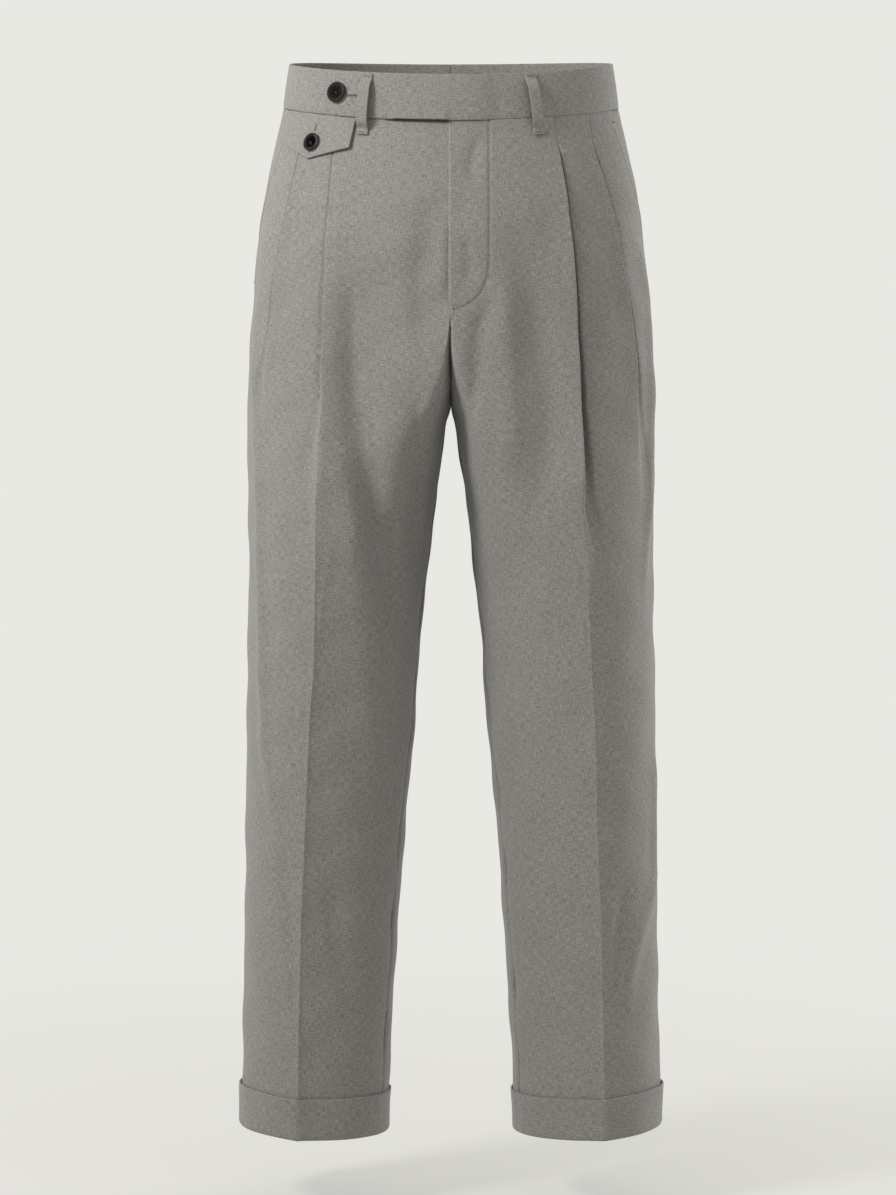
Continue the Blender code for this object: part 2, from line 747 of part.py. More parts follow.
def make_button(name, radius, seat, horn):
    """Turned button with a raised rim and four holes, lying on its seat."""
    mesh = bmesh.new()
    corners = [mesh.verts.new((reach * radius * MM, 0, rise * MM)) for reach, rise in BUTTON_PROFILE]
    for pair in zip(corners, corners[1:]):
        mesh.edges.new(pair)
    piece = add_object(name, mesh, horn)
    piece.matrix_world = seat
    turned = piece.modifiers.new("Turned", "SCREW")
    turned.axis = "Z"
    turned.steps = BUTTON_STEPS
    turned.render_steps = BUTTON_STEPS
    turned.use_merge_vertices = True
    turned.merge_threshold = 0.01 * MM
    for number in range(4):
        angle = math.pi / 4 + number * math.pi / 2
        drill = bmesh.new()
        across = BUTTON_HOLE_REACH * MM * math.cos(angle)
        along = BUTTON_HOLE_REACH * MM * math.sin(angle)
        middle = Matrix.Translation((across, along, BUTTON_HOLE_DEPTH / 4 * MM))
        bmesh.ops.create_cone(
            drill,
            cap_ends=True,
            segments=BUTTON_HOLE_STEPS,
            radius1=BUTTON_HOLE_RADIUS * MM,
            radius2=BUTTON_HOLE_RADIUS * MM,
            depth=BUTTON_HOLE_DEPTH * MM,
            matrix=middle,
        )
        data = bpy.data.meshes.new(f"{name}_hole_{number}")
        drill.to_mesh(data)
        drill.free()
        cutter = bpy.data.objects.new(data.name, data)
        cutter.matrix_world = seat
        cutter.hide_render = True
        cutter.display_type = "WIRE"
        CUTTERS.objects.link(cutter)
        cut = piece.modifiers.new(f"Hole {number}", "BOOLEAN")
        cut.operation = "DIFFERENCE"
        cut.object = cutter


for old in list(bpy.data.objects):
    bpy.data.objects.remove(old)
GARMENT = bpy.data.collections.new("pleated_dress_trousers")
CUTTERS = bpy.data.collections.new("cutters")
bpy.context.scene.collection.children.link(GARMENT)
bpy.context.scene.collection.children.link(CUTTERS)

for side_name in SIDES:
    make_front(side_name, principled(f"Front {side_name} wool", CLOTH_COLOUR, 0.9))
    make_back(side_name, principled(f"Back {side_name} wool", CLOTH_COLOUR, 0.9))
    make_facing(side_name, principled(f"Facing {side_name} wool", INSIDE_COLOUR, 0.9))
    make_cuff(side_name, principled(f"Cuff {side_name} wool", CLOTH_COLOUR, 0.9))
make_band_left(principled("Left band wool", CLOTH_COLOUR, 0.88))
make_band_right(principled("Right band wool", CLOTH_COLOUR, 0.88))
make_flap(principled("Flap wool", CLOTH_COLOUR, 0.88))
for name, side, top_arc, bottom_arc, plies in LOOPS:
    strap_cloth = principled(f"{name} wool", CLOTH_COLOUR, 0.88)
    make_loop(name, side, (top_arc, bottom_arc), plies, strap_cloth)
make_back_loop(principled("Back loop wool", CLOTH_COLOUR, 0.88))
TAB_FACE = BAND_LIFT + BAND_WALL / 2 + BAND_PLY
WAIST_BUTTON_SEAT = button_seat(-1, 1.2, 110.5, TAB_FACE + SEAM_GAP)
FLAP_BUTTON_SEAT = button_seat(-1, -49.0, 139.0, FLAP_LIFT + WALL / 2 + SEAM_GAP)
WAIST_HORN = principled("Waist button horn", BUTTON_COLOUR, 0.3)
FLAP_HORN = principled("Flap button horn", BUTTON_COLOUR, 0.3)
make_button("waist_button", WAIST_BUTTON_RADIUS, WAIST_BUTTON_SEAT, WAIST_HORN)
make_button("flap_button", FLAP_BUTTON_RADIUS, FLAP_BUTTON_SEAT, FLAP_HORN)
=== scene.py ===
"""Pleated dress trousers in a grey melange wool, filled out as worn, in a soft studio light."""
import math

import bmesh
import bpy
import numpy as np
from mathutils import Matrix, Vector


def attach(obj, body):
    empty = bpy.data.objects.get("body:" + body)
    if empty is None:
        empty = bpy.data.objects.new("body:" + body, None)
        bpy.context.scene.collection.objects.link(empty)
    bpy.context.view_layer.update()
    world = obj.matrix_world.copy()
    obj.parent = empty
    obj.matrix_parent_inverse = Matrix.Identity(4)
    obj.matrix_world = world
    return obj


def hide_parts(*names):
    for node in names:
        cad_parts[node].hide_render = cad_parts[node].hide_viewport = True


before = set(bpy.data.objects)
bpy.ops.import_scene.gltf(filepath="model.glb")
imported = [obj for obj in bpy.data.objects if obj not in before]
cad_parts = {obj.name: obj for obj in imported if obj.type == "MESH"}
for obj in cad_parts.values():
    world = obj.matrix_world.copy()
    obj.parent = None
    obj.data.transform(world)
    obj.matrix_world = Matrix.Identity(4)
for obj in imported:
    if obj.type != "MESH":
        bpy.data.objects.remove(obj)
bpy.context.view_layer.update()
scene = bpy.context.scene


# Studio: a pale seamless floor that glows into the pale room far out, so that no edge shows.
# A broad soft lamp stands on the left of the front and a weak one on its right. Two more light
# the edges and the back from behind, and the room itself gives the rest.
MM = 0.001
ROOM_COLOUR = "#e9e8e3"
FLOOR_COLOUR = "#bab9b5"
FLOOR_LEVEL = -1.09
FLOOR_RADIUS = 9.0
# Share of glow in the floor's middle, and how far out it is full.
GLOW_NEAR = 0.55
GLOW_FULL = 1.9
# Name, place, height of its aim, width and power.
LAMPS = (
    ("key", (-1.6, -1.15, 0.9), 0.8, 0.7, 64.0),
    ("right fill", (2.2, -1.3, -0.3), -0.4, 1.6, 8.0),
    ("left edge", (-2.3, 1.3, 0.1), -0.25, 1.6, 7.0),
    ("right edge", (2.3, 1.3, 0.1), -0.25, 1.6, 40.0),
)
CAMERA_PLACE = (-0.00295, -2.5, -0.503)
FIELD_HEIGHT = 1.1747
SENSOR = 36.0


def srgb(code):
    """Linear colour of an sRGB hex code."""
    shares = [int(code[k:k + 2], 16) / 255 for k in (1, 3, 5)]
    return (*(c / 12.92 if c <= 0.04045 else ((c + 0.055) / 1.055) ** 2.4 for c in shares), 1.0)


def add_node(tree, kind, values=None, links=None, **settings):
    """Node of one kind with its settings, its sockets' values and the sockets that feed it."""
    made = tree.nodes.new("ShaderNode" + kind)
    for name, value in settings.items():
        setattr(made, name, value)
    for name, value in (values or {}).items():
        made.inputs[name].default_value = value
    for name, source in (links or {}).items():
        tree.links.new(source, made.inputs[name])
    return made


def new_material(name):
    """Empty node material and its tree."""
    material = bpy.data.materials.new(name)
    material.use_nodes = True
    material.node_tree.nodes.clear()
    return material, material.node_tree


def set_surface(tree, shader):
    """Give the material's surface this shader."""
    add_node(tree, "OutputMaterial", None, {"Surface": shader})


def new_piece(name, mesh, material):
    """Object at the origin made from a bmesh."""
    data = bpy.data.meshes.new(name)
    mesh.to_mesh(data)
    mesh.free()
    data.materials.append(material)
    data.shade_smooth()
    piece = bpy.data.objects.new(name, data)
    scene.collection.objects.link(piece)
    return piece


paper, tree = new_material("Pale seamless paper")
place = add_node(tree, "TexCoord").outputs["Object"]
flat = add_node(tree, "VectorMath", {1: (1, 1, 0)}, {0: place}, operation="MULTIPLY")
reach = add_node(tree, "VectorMath", None, {0: flat.outputs[0]}, operation="LENGTH")
far_out = add_node(
    tree, "MapRange", {"From Max": GLOW_FULL, "To Min": GLOW_NEAR},
    {"Value": reach.outputs["Value"]}, interpolation_type="SMOOTHSTEP",
)
matt = add_node(
    tree, "BsdfPrincipled",
    {"Base Color": srgb(FLOOR_COLOUR), "Roughness": 0.95, "Specular IOR Level": 0.1},
)
glow = add_node(tree, "Emission", {"Color": srgb(ROOM_COLOUR)})
blended = add_node(
    tree, "MixShader", None,
    {0: far_out.outputs["Result"], 1: matt.outputs["BSDF"], 2: glow.outputs["Emission"]},
)
set_surface(tree, blended.outputs["Shader"])
mesh = bmesh.new()
bmesh.ops.create_circle(
    mesh, cap_ends=True, segments=64, radius=FLOOR_RADIUS,
    matrix=Matrix.Translation((0, 0, FLOOR_LEVEL)),
)
floor = new_piece("studio_floor", mesh, paper)

world = bpy.data.worlds.new("Pale room")
world.use_nodes = True
room = world.node_tree.nodes["Background"]
room.inputs["Color"].default_value = srgb(ROOM_COLOUR)
scene.world = world
scene.view_settings.view_transform = "Standard"

for name, where, aim, size, power in LAMPS:
    lamp = bpy.data.lights.new(name, "AREA")
    lamp.shape = "DISK"
    lamp.size = size
    lamp.energy = power
    stand = bpy.data.objects.new(name, lamp)
    stand.location = where
    beam = Vector((0, 0, aim)) - Vector(where)
    stand.rotation_euler = beam.to_track_quat("-Z", "Y").to_euler()
    stand.visible_camera = False
    scene.collection.objects.link(stand)

eye = bpy.data.cameras.new("Camera")
eye.sensor_width = SENSOR
eye.lens = SENSOR * -CAMERA_PLACE[1] / FIELD_HEIGHT
camera = bpy.data.objects.new("Camera", eye)
camera.location = CAMERA_PLACE
camera.rotation_euler = (math.radians(90), 0, 0)
scene.collection.objects.link(camera)
scene.camera = camera


# Wool: a fine plain weave spun from dark and pale grey fibres, so that no two threads match.
# Its threads are about 0.4 mm apart, which is too fine to show, so slubs of about 1 mm by
# 6 mm are drawn along and across it. It is matt, with a soft bloom where it turns away.
SLUB_WIDTH = 0.0008
SLUB_LENGTH = 0.006
FLECK_SIZE = 0.0009
PATCH_SIZE = 0.016
# Width, height and shift of the noises: three for the shade and one for the tint.
WOOL_NOISES = (
    (SLUB_WIDTH, SLUB_LENGTH, 3.1),
    (SLUB_LENGTH, SLUB_WIDTH, 7.7),
    (FLECK_SIZE, FLECK_SIZE, 1.3),
    (PATCH_SIZE, PATCH_SIZE, 5.9),
)
WOOL_SHADES = ((0.0, "#5a5855"), (0.5, "#716f6b"), (1.0, "#868380"))
WOOL_TINTS = ((0.35, "#fcfffe"), (0.65, "#fffdfc"))


def shade_ramp(tree, stops, source):
    """Colour ramp through the given stops."""
    made = add_node(tree, "ValToRGB", None, {"Fac": source})
    ramp = made.color_ramp
    while len(ramp.elements) < len(stops):
        ramp.elements.new(0.5)
    for element, (position, code) in zip(ramp.elements, stops):
        element.position = position
        element.color = srgb(code)
    return made.outputs["Color"]


def melange_wool(name):
    """Wool cloth whose threads follow the piece's own cut, laid out in its UV map in metres."""
    material, tree = new_material(name)
    cut = add_node(tree, "UVMap", uv_map="Cut").outputs["UV"]
    noises = []
    for wide, tall, shift in WOOL_NOISES:
        laid = add_node(
            tree, "Mapping",
            {"Scale": (1 / wide, 1 / tall, 1), "Location": (shift, shift, 0)},
            {"Vector": cut},
        )
        noises.append(add_node(
            tree, "TexNoise", {"Scale": 1.0, "Detail": 2.0, "Roughness": 0.6},
            {"Vector": laid.outputs["Vector"]}, noise_dimensions="2D",
        ).outputs["Fac"])
    threads = add_node(tree, "Math", None, {0: noises[0], 1: noises[1]}, operation="ADD")
    mixed = add_node(tree, "Math", None, {0: threads.outputs[0], 1: noises[2]}, operation="ADD")
    spread = add_node(
        tree, "MapRange", {"From Min": 1.12, "From Max": 1.88}, {"Value": mixed.outputs[0]},
    )
    shade = shade_ramp(tree, WOOL_SHADES, spread.outputs["Result"])
    tint = shade_ramp(tree, WOOL_TINTS, noises[3])
    dyed = add_node(tree, "Mix", {"Factor": 1.0}, data_type="RGBA", blend_type="MULTIPLY")
    tree.links.new(shade, dyed.inputs[6])
    tree.links.new(tint, dyed.inputs[7])
    relief = add_node(
        tree, "Bump", {"Strength": 0.35, "Distance": 0.0004}, {"Height": mixed.outputs[0]},
    )
    shader = add_node(
        tree, "BsdfPrincipled",
        {"Roughness": 0.88, "Specular IOR Level": 0.22,
         "Sheen Weight": 0.18, "Sheen Roughness": 0.5},
        {"Base Color": dyed.outputs[2], "Normal": relief.outputs["Normal"]},
    )
    set_surface(tree, shader.outputs["BSDF"])
    return material


# The outline: half of the garment's outline, seen from above, at each level in millimetres.
# Every piece of cloth lies on it at a level, an arc along it, and a lift out of it.
WALL = 0.8
SEAM_GAP = 0.3
PLY = 1.1
SIDES = {"left": 1, "right": -1}
BAND_SEAM = -21.0
WAIST_SLOPE = 0.2533
WAIST_DISH = 0.00046
WAIST_TILT_END = -200.0
HEM_SLOPE = 0.048
HEM_MIDDLE = 134.5
HEM_TILT_TOP = -315.0
HEM_TILT_BOTTOM = -600.0
FLY_END = -238.0
CROTCH = -316.0
HEM = -1020.8
CREASE_WIDTH = 12.0
NORMAL_REACH = 1.5
QUARTER_STEPS = 60
CORNER_STEPS = 13


def named_columns(columns, rows):
    """The table as a dict of arrays, in the order of rising level."""
    data = np.array(sorted(rows), dtype=float)
    return dict(zip(columns, data.T))


# side, inner: x of the outermost and the innermost point. front, back: y of the foremost and
# the rearmost point, and front_x, back_x: their x. power: 2 is an ellipse, less is a creased leg.
RINGS = named_columns(("level", "side", "inner", "front", "back", "front_x", "back_x", "power"), (
    (22, 157.3, 0.7, -104, 104, 0, 0, 2),
    (-21, 163.9, 0.7, -107.5, 108.5, 0, 0, 2),
    (-63, 173.5, 0.7, -115, 124, 0, 0, 2.04),
    (-120, 185, 0.7, -123, 140, 0, 0, 2.08),
    (-190, 192.4, 0.7, -128, 150, 0, 0, 2.12),
    (-238, 195.4, 0.7, -127.5, 148, 0, 0, 2.14),
    (-265, 197.8, 0.7, -126, 144.5, 6, 9, 2.14),
    (-292, 199.2, 0.7, -123.5, 139.5, 17, 25, 2.13),
    (-316, 199.6, 1.1, -121, 132.5, 34, 44, 2.1),
    (-330, 199.6, 4.5, -119.5, 128, 45, 54, 2.08),
    (-350, 199.5, 7.1, -118, 122, 60, 66, 2.05),
    (-400, 199, 14.7, -113, 110, 92, 88, 2),
    (-466, 198, 22.1, -107, 101, 115, 104, 1.92),
    (-545, 199, 31, -99, 94, 126, 114, 1.84),
    (-604, 200, 34.4, -94, 90, 132.5, 119, 1.8),
    (-721, 201, 45.2, -86, 84, 138.2, 126, 1.76),
    (-839, 202.5, 53.6, -80, 79, 143, 131, 1.74),
    (-938, 204, 59.5, -76.5, 76, 145, 134, 1.74),
    (-1022, 206, 63.2, -75, 74, 146, 136, 1.74),
))
# Power of a front's inner corner, which is squarer where the cloth is drawn to the crotch.
INNER_POWERS = named_columns(("level", "power"), (
    (-238, 2.4), (-262, 3.6), (-316, 3.8), (-350, 3.4), (-420, 2.6), (-500, 2), (-1022, 2),
))
# Seat seam between the fly and the crotch: y of its front and of its back part.
EDGES = named_columns(("level", "front", "back"), (
    (-238, -127.5, 148),
    (-250, -122, 142.5),
    (-265, -111, 132),
    (-280, -94, 117),
    (-292, -72, 98),
    (-303, -42, 70),
    (-311, -8, 42),
    (-316, 15, 15),
))
INSEAM = named_columns(("level", "y"), (
    (-316, 15), (-345, 8), (-450, -8), (-600, -20), (-700, -26), (-1022, -28),
))
# y of the outermost and innermost points, and height of the pressed creases.
BODIES = named_columns(("level", "side_y", "inner_y", "front_crease", "back_crease"), (
    (22, 0, 15, 0, 0),
    (-190, 6, 15, 0, 0),
    (-250, 5, 15, 0, 0),
    (-330, 4, 15, 1.6, 0),
    (-420, 2, 8, 2.8, 0.8),
    (-545, 0, 3, 3.6, 2),
    (-721, 0, 0, 4.2, 3),
    (-1022, 0, 0, 6.6, 4.4),
))


def linear(table, column, level):
    """Straight-line reading of one column at a level."""
    return float(np.interp(level, table["level"], table[column]))


def curved(table, column, level):
    """Reading of one column at a level on a cubic that keeps each stretch monotone."""
    xs = table["level"]
    ys = table[column]
    step = np.diff(xs)
    chord = np.diff(ys) / step
    slope = np.concatenate(([chord[0]], np.zeros(len(xs) - 2), [chord[-1]]))
    for k in range(1, len(xs) - 1):
        if chord[k - 1] * chord[k] > 0:
            before = 2 * step[k] + step[k - 1]
            after = step[k] + 2 * step[k - 1]
            slope[k] = (before + after) / (before / chord[k - 1] + after / chord[k])
    level = min(max(level, xs[0]), xs[-1])
    k = min(int(np.searchsorted(xs, level, side="right")) - 1, len(xs) - 2)
    t = (level - xs[k]) / step[k]
    bend = (slope[k] * (1 - t) - slope[k + 1] * t) * step[k] + (ys[k + 1] - ys[k]) * (2 * t - 1)
    return float(ys[k] * (1 - t) + ys[k + 1] * t + t * (1 - t) * bend)


def curved_row(table, level):
    """Curved readings of all the table's columns."""
    return {name: curved(table, name, level) for name in table if name != "level"}


def ease(share):
    """0 to 1 with flat ends."""
    share = np.clip(share, 0.0, 1.0)
    return share * share * (3 - 2 * share)


def mix(start, end, share):
    """The value a share of the way from start to end."""
    return start + (end - start) * share


class Ring:
    """Half of the garment's outline at one level."""

    def __init__(self, level):
        row = curved_row(RINGS, level)
        body = curved_row(BODIES, level)
        angle = np.linspace(0, math.pi / 2, QUARTER_STEPS + 1)
        out = np.sin(angle) ** (2 / row["power"])
        back = np.cos(angle) ** (2 / row["power"])
        front_x = row["front_x"] + (row["side"] - row["front_x"]) * out
        front_y = body["side_y"] - (body["side_y"] - row["front"]) * back
        rear_x = row["back_x"] + (row["side"] - row["back_x"]) * back
        rear_y = body["side_y"] + (row["back"] - body["side_y"]) * out
        if level > FLY_END:
            inner_x = -front_x[::-1]
            inner_y = front_y[::-1]
            seat_x = -rear_x[::-1]
            seat_y = rear_y[::-1]
        else:
            if level > CROTCH:
                front_edge = fore_y = curved(EDGES, "front", level)
                back_edge = aft_y = curved(EDGES, "back", level)
            else:
                front_edge = back_edge = curved(INSEAM, "y", level)
                fore_y = aft_y = body["inner_y"]
            square = 2 / curved(INNER_POWERS, "power", level)
            inner_x = row["front_x"] - (row["front_x"] - row["inner"]) * np.cos(angle) ** square
            inner_y = fore_y - (fore_y - row["front"]) * np.sin(angle) ** square
            seat_x = row["back_x"] - (row["back_x"] - row["inner"]) * np.sin(angle)
            seat_y = aft_y + (row["back"] - aft_y) * np.cos(angle)
        xs = np.concatenate((inner_x, front_x[1:], rear_x[1:], seat_x[1:], inner_x[1:]))
        ys = np.concatenate((inner_y, front_y[1:], rear_y[1:], seat_y[1:], inner_y[1:]))
        travel = np.concatenate(([0], np.cumsum(np.hypot(np.diff(xs), np.diff(ys)))))
        crown, side, rear = QUARTER_STEPS, 2 * QUARTER_STEPS, 3 * QUARTER_STEPS
        start = travel[crown]
        stop = travel[rear]
        if level <= FLY_END:
            start = np.interp(-front_edge, -ys[:crown + 1], travel[:crown + 1])
            stop = np.interp(-back_edge, -ys[rear:], travel[rear:])
        self.xs = xs
        self.ys = ys
        self.travel = travel - start
        self.length = stop - start
        self.crown = self.travel[crown]
        self.side = self.travel[side]
        self.rear = self.travel[rear]
        self.front_corner = self.travel[crown - CORNER_STEPS]
        self.creases = ((self.crown, body["front_crease"]), (self.rear, body["back_crease"]))

    def arc_of_x(self, x):
        """Arc of the point of the front that has this x."""
        front = slice(QUARTER_STEPS, 2 * QUARTER_STEPS + 1)
        return float(np.interp(x, self.xs[front], self.travel[front]))

    def at(self, arcs, lifts):
        """x and y at each arc, moved out by the lifts."""
        near = [arcs + step for step in (-NORMAL_REACH, 0, NORMAL_REACH)]
        x = [np.interp(places, self.travel, self.xs) for places in near]
        y = [np.interp(places, self.travel, self.ys) for places in near]
        run = x[2] - x[0]
        rise = y[2] - y[0]
        size = np.hypot(run, rise)
        for place, height in self.creases:
            lifts = lifts + height * np.exp(-np.abs(arcs - place) / CREASE_WIDTH)
        return x[1] + lifts * rise / size, y[1] - lifts * run / size


RING_STORE = {}


def ring(level):
    """The outline at a level, worked out once."""
    if level not in RING_STORE:
        RING_STORE[level] = Ring(level)
    return RING_STORE[level]


def height(level, x, y):
    """z of a point of the ring: the waist's and the hem's tilt fade out between them."""
    waist = ease((level - WAIST_TILT_END) / (BAND_SEAM - WAIST_TILT_END))
    leg = ease((level - HEM_TILT_TOP) / (HEM_TILT_BOTTOM - HEM_TILT_TOP))
    dipped = level + waist * (WAIST_SLOPE * y - WAIST_DISH * y * y)
    return dipped + leg * HEM_SLOPE * (x - HEM_MIDDLE)


# Soft folds that the cloth falls into, the same ones on every piece that they cross. Each has
# its height (less than 0 is a trough), its width towards the front and towards the side, and
# its path: by turns a level and how far forwards of the side seam it lies there.
# Those under "both" lie on the seat and the back of each leg. A path fades at both ends.
FOLD_FADE = 0.3
FOLD_MARGIN = 2.5
FOLDS = {"left": (
    (-4.2, 18, 16, (
        -118, 185, -166, 190, -197, 188, -224, 184, -259, 184, -300, 176, -349, 176, -392, 182,
        -435, 195, -485, 200)),
    (2.8, 12, 11, (-160, 214, -272, 212, -304, 211, -348, 209, -382, 218, -430, 228)),
    (-3.2, 8, 8, (-210, 230, -229, 227, -250, 237, -272, 240, -304, 242, -350, 256)),
    (-2.4, 6, 7, (-30, 186, -44, 199, -59, 210, -76, 218, -98, 222)),
    (-1.6, 6, 6, (-155, 243, -193, 244, -218, 249)),
    (3.8, 9, 9, (-120, 58, -153, 49, -173, 39, -214, 30, -263, 33, -366, 40, -468, 53, -540, 56)),
    (3.2, 10, 11, (-620, 24, -702, 25, -774, 26, -802, 41, -832, 64, -882, 83, -940, 90)),
    (-2.4, 8, 8, (-760, 82, -841, 93, -887, 90, -925, 84)),
    (-2.4, 22, 16, (-560, 168, -700, 158, -850, 150, -1000, 146)),
), "right": (
    (3.6, 9, 9, (
        -105, 63, -156, 48, -195, 47, -231, 41, -273, 46, -331, 53, -390, 60, -468, 61, -555, 64,
        -649, 67, -700, 79, -778, 88, -820, 95)),
    (-13.5, 55, 16, (
        -150, 164, -222, 168, -270, 171, -318, 175, -364, 185, -411, 195, -466, 205, -560, 224)),
    (3.4, 14, 18, (-370, 168, -430, 171, -467, 172, -505, 180, -560, 184, -640, 186, -720, 188)),
    (-4.0, 22, 12, (
        -95, 229, -131, 231, -155, 233, -178, 237, -206, 232, -242, 236, -272, 240, -305, 243)),
    (1.6, 7, 7, (-140, 250, -197, 252, -232, 252)),
    (-6.0, 9, 12, (-290, 237, -326, 237, -358, 243, -401, 254, -446, 254, -490, 256)),
    (3.0, 13, 14, (-290, 197, -346, 206, -383, 212, -419, 222, -446, 236, -462, 254)),
    (-4.6, 16, 14, (
        -355, 174, -392, 182, -403, 188, -429, 198, -442, 208, -465, 215, -515, 221, -560, 226)),
    (-2.6, 12, 12, (-750, 136, -790, 139, -841, 143, -886, 158, -920, 165)),
    (-2.2, 8, 8, (-730, 95, -764, 93, -856, 102, -908, 106, -945, 106)),
), "both": (
    (-3.6, 12, 12, (-250, -60, -330, -120, -390, -180)),
    (-3.2, 9, 9, (-345, -120, -352, -170, -340, -230)),
    (-2.6, 10, 10, (-395, -90, -410, -150, -400, -210)),
    (2.4, 12, 12, (-420, -110, -560, -100, -700, -92, -820, -86)),
    (-2.2, 9, 9, (-560, -95, -590, -150)),
    (-2.0, 9, 9, (-610, -88, -640, -158)),
    (-2.8, 10, 10, (-300, -30, -420, -40, -560, -42, -700, -38)),
    (-2.6, 10, 10, (-420, -230, -520, -225, -640, -210)),
    (2.2, 9, 9, (-860, -70, -940, -95)),
)}
# Waves too slight to count as folds: height, and length down and across the cloth.
WAVES = ((0.45, 96.0, 143.0), (0.35, 61.0, -88.0), (0.25, 173.0, 52.0))
WAVES_SHIFT = 37
WAVES_START = -60.0
WAVES_FULL = -140.0


def nearest_on_path(path, level, places):
    """Distance of each place of one row from a path, share passed there, and place beside it."""
    path = np.array(path, dtype=float)
    steps = np.hypot(*np.diff(path, axis=0).T)
    passed = np.concatenate(([0], np.cumsum(steps)))
    nearest = np.full(len(places), 1e9)
    share = np.zeros(len(places))
    beside = np.zeros(len(places))
    for k, step in enumerate(steps):
        down, across = (path[k + 1] - path[k]) / step
        gap_level = level - path[k, 0]
        gap_place = places - path[k, 1]
        along = np.clip(gap_level * down + gap_place * across, 0, step)
        miss_place = gap_place - along * across
        distance = np.hypot(gap_level - along * down, miss_place)
        closer = distance < nearest
        nearest = np.where(closer, distance, nearest)
        share = np.where(closer, (passed[k] + along) / passed[-1], share)
        beside = np.where(closer, miss_place, beside)
    return nearest, share, beside


def fold_lift(side_name, level, arcs):
    """How far the soft folds carry each point of one row out of the outline."""
    reach = ring(level).side - arcs
    turn = SIDES[side_name]
    calm = ease((WAVES_START - level) / (WAVES_START - WAVES_FULL))
    lift = calm * sum(
        size * np.sin(2 * math.pi * (level / down + (reach + WAVES_SHIFT * turn) / across))
        for size, down, across in WAVES
    )
    for size, front_width, side_width, path in FOLDS[side_name] + FOLDS["both"]:
        path = np.reshape(path, (-1, 2))
        levels = path[:, 0]
        margin = FOLD_MARGIN * max(front_width, side_width)
        if not levels.min() - margin < level < levels.max() + margin:
            continue
        nearest, share, beside = nearest_on_path(path, level, reach)
        width = np.where(beside > 0, front_width, side_width)
        taper = ease(share / FOLD_FADE) * ease((1 - share) / FOLD_FADE)
        lift += size * taper * np.exp(-(nearest / width) ** 2)
    return lift


def cloth_rows(side_name, levels, rows):
    """Points in metres of rows of (arc, lift) stations, with the soft folds added."""
    side = SIDES[side_name]
    points = []
    for level, row in zip(levels, rows):
        arcs, lifts = np.array(row, dtype=float).T
        x, y = ring(level).at(arcs, lifts + fold_lift(side_name, level, arcs))
        points.append(np.array((side * x, y, height(level, x, y))).T * MM)
    return np.array(points)


BOLT_STEP = 0.73
CORNER_CUT = 0.25
bolt = []


def cloth_sheet(name, points, material, wall, origin=0):
    """Sheet through a lattice of points, with a wall, and its cut as a UV map in metres.

    Each piece is cut from a place of its own on the bolt, so that no two pieces look alike.
    """
    bolt.append(name)
    rows, columns = points.shape[:2]
    steps = np.linalg.norm(np.diff(points, axis=1), axis=2)
    across = np.concatenate((np.zeros((rows, 1)), np.cumsum(steps, axis=1)), axis=1)
    across -= across[:, origin:origin + 1] - BOLT_STEP * len(bolt)
    drops = np.linalg.norm(np.diff(points[:, origin], axis=0), axis=1)
    along = -np.concatenate(([0], np.cumsum(drops)))
    mesh = bmesh.new()
    bmesh.ops.create_grid(mesh, x_segments=columns - 1, y_segments=rows - 1, size=1)
    cells = {}
    for vert in mesh.verts:
        column = round((vert.co.x + 1) / 2 * (columns - 1))
        row = round((vert.co.y + 1) / 2 * (rows - 1))
        cells[vert] = (across[row, column], along[row])
        vert.co = points[row, column]
    layer = mesh.loops.layers.uv.new("Cut")
    for face in mesh.faces:
        for loop in face.loops:
            loop[layer].uv = cells[loop.vert]
    piece = new_piece(name, mesh, material)
    shell = piece.modifiers.new("Wall", "SOLIDIFY")
    shell.thickness = wall * MM
    shell.offset = 0
    shell.use_quality_normals = True
    return piece


def spaced(marks, counts):
    """Even steps from each mark to the next, as many as its count, and the last mark."""
    runs = [
        np.linspace(low, high, count, endpoint=False)
        for low, high, count in zip(marks, marks[1:], counts)
    ]
    return np.concatenate((*runs, marks[-1:]))


def rounded(stations, passes=2):
    """The stations with every corner cut, and both ends kept."""
    points = np.array(stations, dtype=float)
    for _ in range(passes):
        near = (1 - CORNER_CUT) * points[:-1] + CORNER_CUT * points[1:]
        far = CORNER_CUT * points[:-1] + (1 - CORNER_CUT) * points[1:]
        cut = np.stack((near, far), axis=1).reshape(-1, 2)
        points = np.vstack((points[:1], cut, points[-1:]))
    return points


# Fronts: two panels of wool, each with two pleats folded towards the side. They are sewn shut
# for 30 mm below the band and then open, and the first runs on down as the pressed crease.
# The left front laps over the right at the fly. Seam edges are turned in.
PANEL_TOP = -21.5
PANEL_END = -1018
# Levels between which the rows are evenly spread, and how many: closer where more happens.
FRONT_MARKS = (PANEL_TOP, -26, -150, -240, -330, PANEL_END)
FRONT_ROWS = (5, 30, 40, 30, 94)
FLY = named_columns(("level", "left_edge", "right_edge", "right_drop"), (
    (22, -2.5, -12, PLY),
    (-130, -2.5, -12, PLY),
    (-190, -2.5, -12, 2.6),
    (-212, -2.5, -12, 2.8),
    (-226, -2.5, -5, 2),
    (-238, 0.15, 0.15, 0),
    (-1022, 0.15, 0.15, 0),
))
# Where the right front comes forward from behind the fly.
FLY_DROP_FLAT = 4.5
FLY_DROP_RAMP = 20.0
# How far the pocket mouth's edge is set back from the side seam.
POCKET = named_columns(("level", "set_back"), (
    (22, 35.5), (-34, 35.5), (-74, 29.5), (-113, 21.5), (-145, 13), (-175, 5.5), (-206, 0),
    (-1022, 0),
))
